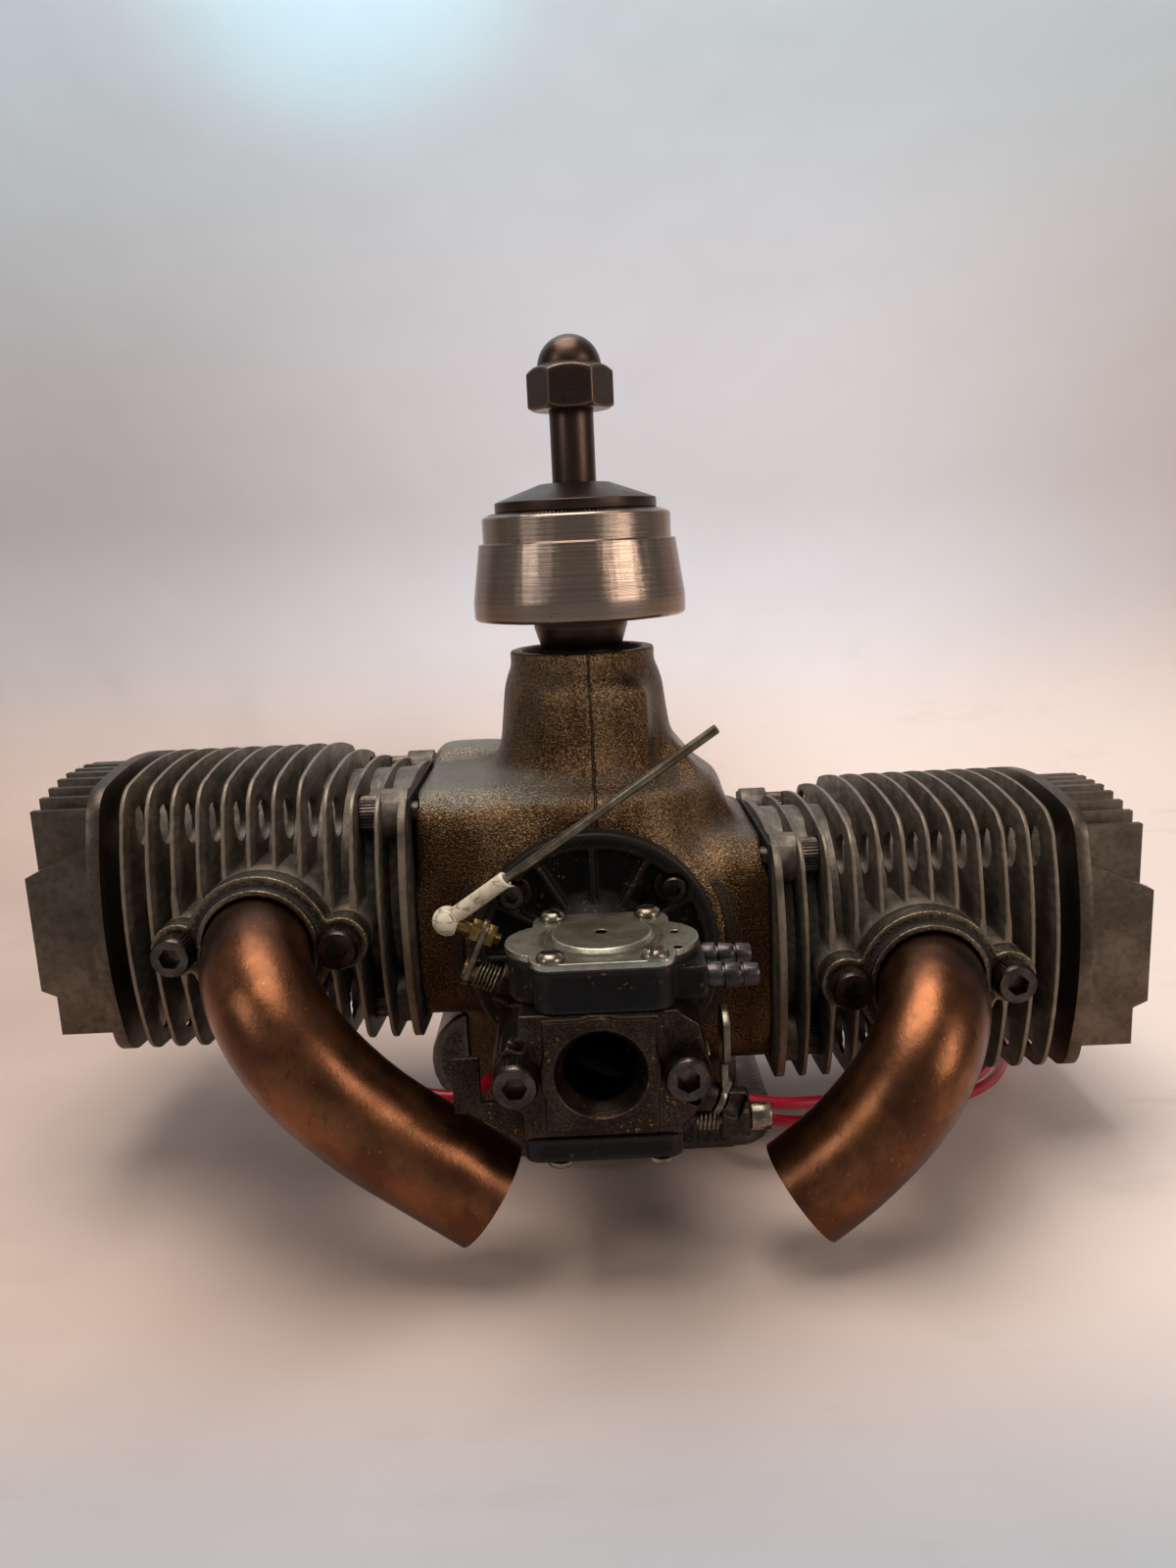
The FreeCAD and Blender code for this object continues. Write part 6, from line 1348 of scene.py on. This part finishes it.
class Fasteners:
    """Every set of screws on the engine."""

    SOCKET_M5 = ScrewKind(Drive.HEXAGON, 4.25, 5.0, 4.0, 2.5, ridges=36, knurl=0.035, drive_depth=2.6)
    SOCKET_M4 = ScrewKind(Drive.HEXAGON, 3.5, 4.0, 3.0, 2.0, ridges=32, knurl=0.035, drive_depth=2.2)
    SOCKET_M3 = ScrewKind(Drive.HEXAGON, 2.75, 3.0, 2.5, 1.5, ridges=28, knurl=0.035, drive_depth=1.7)
    PAN = ScrewKind(Drive.SLOT, 2.7, 1.6, 0.8, 1.4, ridges=24, round_from=0.2, dome=0.6, drive_depth=0.8)

    @staticmethod
    def forward(_: Vector) -> Vector:
        """The way out of a screw at the front."""
        return Vector((0, -1, 0))

    @staticmethod
    def outward(middle: Vector) -> Vector:
        """The way out of a screw in a cylinder or head."""
        return Vector((1 if middle.x > 0 else -1, 0, 0))

    def build(self, shop: Workshop) -> None:
        """Fits the screws."""
        middle_z = sum(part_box("cover_screws"), Vector()).z / 2
        sets = (       # node, kind, way out, turn between neighbours
            ("exhaust_bolts", self.SOCKET_M5, self.forward, 0.45),
            ("cylinder_bolts", self.SOCKET_M5, self.outward, 0.7),
            ("head_bolts", self.SOCKET_M4, self.outward, 0.7),
            ("manifold_screws", self.SOCKET_M3, self.forward, 0.7),
            ("carb_bolts", self.SOCKET_M5, self.forward, 0.5),
            ("rear_cover_bolts", self.SOCKET_M3, lambda middle: Vector((0, 0, -1)), 0.7))
        screws = Screws(shop)
        for node, kind, out, turns in sets:
            screws.fit(node, "black_oxide", kind, out, turns)
        screws.fit("cover_screws", "bright_screw", self.PAN,
                   lambda middle: Vector((0, 0, 1 if middle.z > middle_z else -1)), 1.1)


@dataclass
class Studio:
    """Camera, pale floor and wall, and soft lights, in metres."""

    camera_place: Triple = (0.0, -0.277, 0.1425)
    tilt: float = 78.0
    roll: float = -2.6
    lens: float = 27.05
    wall_y: float = 0.42
    sweep_r: float = 0.16         # radius of the bend between floor and wall
    sweep_steps: int = 16
    reach: Triple = (2.4, 1.6, 2.4)      # to each side, to the front and up
    aim: Triple = (0.0, 0.0, 0.08)
    clouds: Cloud = Cloud(0.12, 3, 0.5, 0.3, 0.7)
    smudges: Cloud = Cloud(0.03, 5, 0.62, 0.56, 0.7, ((0.6, 1.6, 1.0), (0, 0, 0)))
    wrinkles: Cloud = Cloud(0.045, 2, 0.45, 0.4, 0.75, ((1.0, 1.0, 0.6), (0.0, 0.5, 0.0)))
    glow: Triple = (-0.11, 0.44, 1.3)    # the painted pool of bluish light on the wall: its place across and up, and how wide it is

    def camera(self) -> None:
        """Sets the camera."""
        data = bpy.data.cameras.new("camera")
        data.lens = self.lens
        data.sensor_width = 36.0
        data.clip_start, data.clip_end = 0.01, 20.0
        camera = bpy.context.scene.camera = linked("camera", data)
        camera.matrix_world = (Matrix.Translation(self.camera_place)
                               @ Matrix.Rotation(math.radians(self.tilt), 4, "X")
                               @ Matrix.Rotation(math.radians(self.roll), 4, "Z"))

    def sweep(self) -> Object:
        """A floor that bends up into a wall."""
        side, front, top = self.reach
        radius, foot = self.sweep_r, self.wall_y - self.sweep_r
        profile = [(-front, 0.0), (foot, 0.0)]
        for step in range(1, self.sweep_steps):
            angle = math.pi / 2 * step / self.sweep_steps
            profile.append((foot + radius * math.sin(angle), radius - radius * math.cos(angle)))
        profile += [(self.wall_y, radius), (self.wall_y, top)]
        shape = bmesh.new()
        left, right = ([shape.verts.new((x, y, z)) for y, z in profile] for x in (-side, side))
        for index in range(len(profile) - 1):
            shape.faces.new((left[index], right[index], right[index + 1], left[index + 1]))
        return object_of("backdrop", shape)

    def paper(self) -> Material:
        """Pale paper, smudged on the floor; painted light makes the floor lighter to the right and the wall paler on
        the left and bluish higher up, with a painted pool of bluish light at one place on the wall.
        """
        tree = ShaderTree("backdrop_paper")
        across, near, height = tree.part(0), tree.part(1) * -1, tree.part(2)
        # the floor is painted lighter to the right: a painted pool of light
        floor = tree.layered("ceb6a8", (self.clouds.on(tree), "c0a89a"), (across.between(0.0, 0.16) * 0.9, "f0ded4"),
                             (near.between(0.07, 0.16), "a8acb1"), (self.smudges.on(tree) * 0.12, "968074"))
        glow_x, glow_z, wide = self.glow
        glow = tree.reach((across - glow_x) / wide, height - glow_z)
        # the wall is painted paler on the left, warmer to the right and bluish higher up, with a painted pool of
        # bluish light from the glow: painted light
        wall = tree.layered("bab8ba", (across.between(-0.3, 0.02), "dedee4"),
                            (across.between(0.12, 0.42), "c2b7b2"), (height.between(0.2, 0.42) * 0.85, "becbd2"),
                            (1 - glow.between(0.02, 0.11), "cef0ff"))
        dents = tree.noise(0.09, 2, 0.5) + self.wrinkles.on(tree) * 0.45
        tone = tree.mix(height.between(0.0, 0.12), floor, wall)
        tree.set(Base_Color=tone, Roughness=0.5, Normal=tree.bump(dents, 0.0014))
        return tree.material

    def lamp(self, name: str, place: Triple, size: Pair, power: float, tint: Triple) -> None:
        """Adds one soft area light that shines at the engine."""
        data = bpy.data.lights.new(name, "AREA")
        data.shape = "RECTANGLE"
        data.size, data.size_y = size
        data.energy = power
        data.color = tint
        light = linked(name, data)
        light.location = place
        light.rotation_euler = (Vector(self.aim) - Vector(place)).to_track_quat("-Z", "Y").to_euler()

    def lights(self) -> None:
        """A big soft light above, a cool one on the left and faint fill all round."""
        self.lamp("top", (-0.1, 0.0, 1.1), (0.9, 0.7), 11.0, (1.0, 0.96, 0.93))
        self.lamp("left", (-0.8, -0.6, 0.6), (0.25, 0.5), 1.7, (0.93, 0.96, 1.0))
        self.lamp("right", (0.8, -0.6, 0.5), (0.3, 0.5), 3.3, (1.0, 0.92, 0.85))
        world = bpy.context.scene.world = bpy.data.worlds.new("studio")
        world.use_nodes = True
        world.node_tree.nodes.clear()
        tree = NodeTree(world.node_tree)
        shine = tree.node("ShaderNodeBackground", {"Color": (0.85, 0.86, 0.88), "Strength": 0.26})
        tree.feed(tree.group.nodes.new("ShaderNodeOutputWorld").inputs[0], shine)

    def build(self) -> None:
        """Sets the studio up."""
        bpy.context.scene.view_settings.view_transform = "Standard"
        self.camera()
        sweep = self.sweep()
        sweep.data.shade_smooth()
        sweep.data.materials.append(self.paper())
        self.lights()


def main() -> None:
    """Builds the engine's looks piece by piece."""
    logging.basicConfig(level=logging.INFO, format="%(name)s: %(message)s")
    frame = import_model()
    Studio().build()
    shop = Workshop(frame)
    Leads().build(shop)
    for assembly in (Case(), Cylinders(), Exhausts(), PropDrive(), Carburettor(), Linkage(), Fasteners()):
        assembly.build(shop)
        LOG.info("finished %s", type(assembly).__name__)


if __name__ == "__main__":
    main()
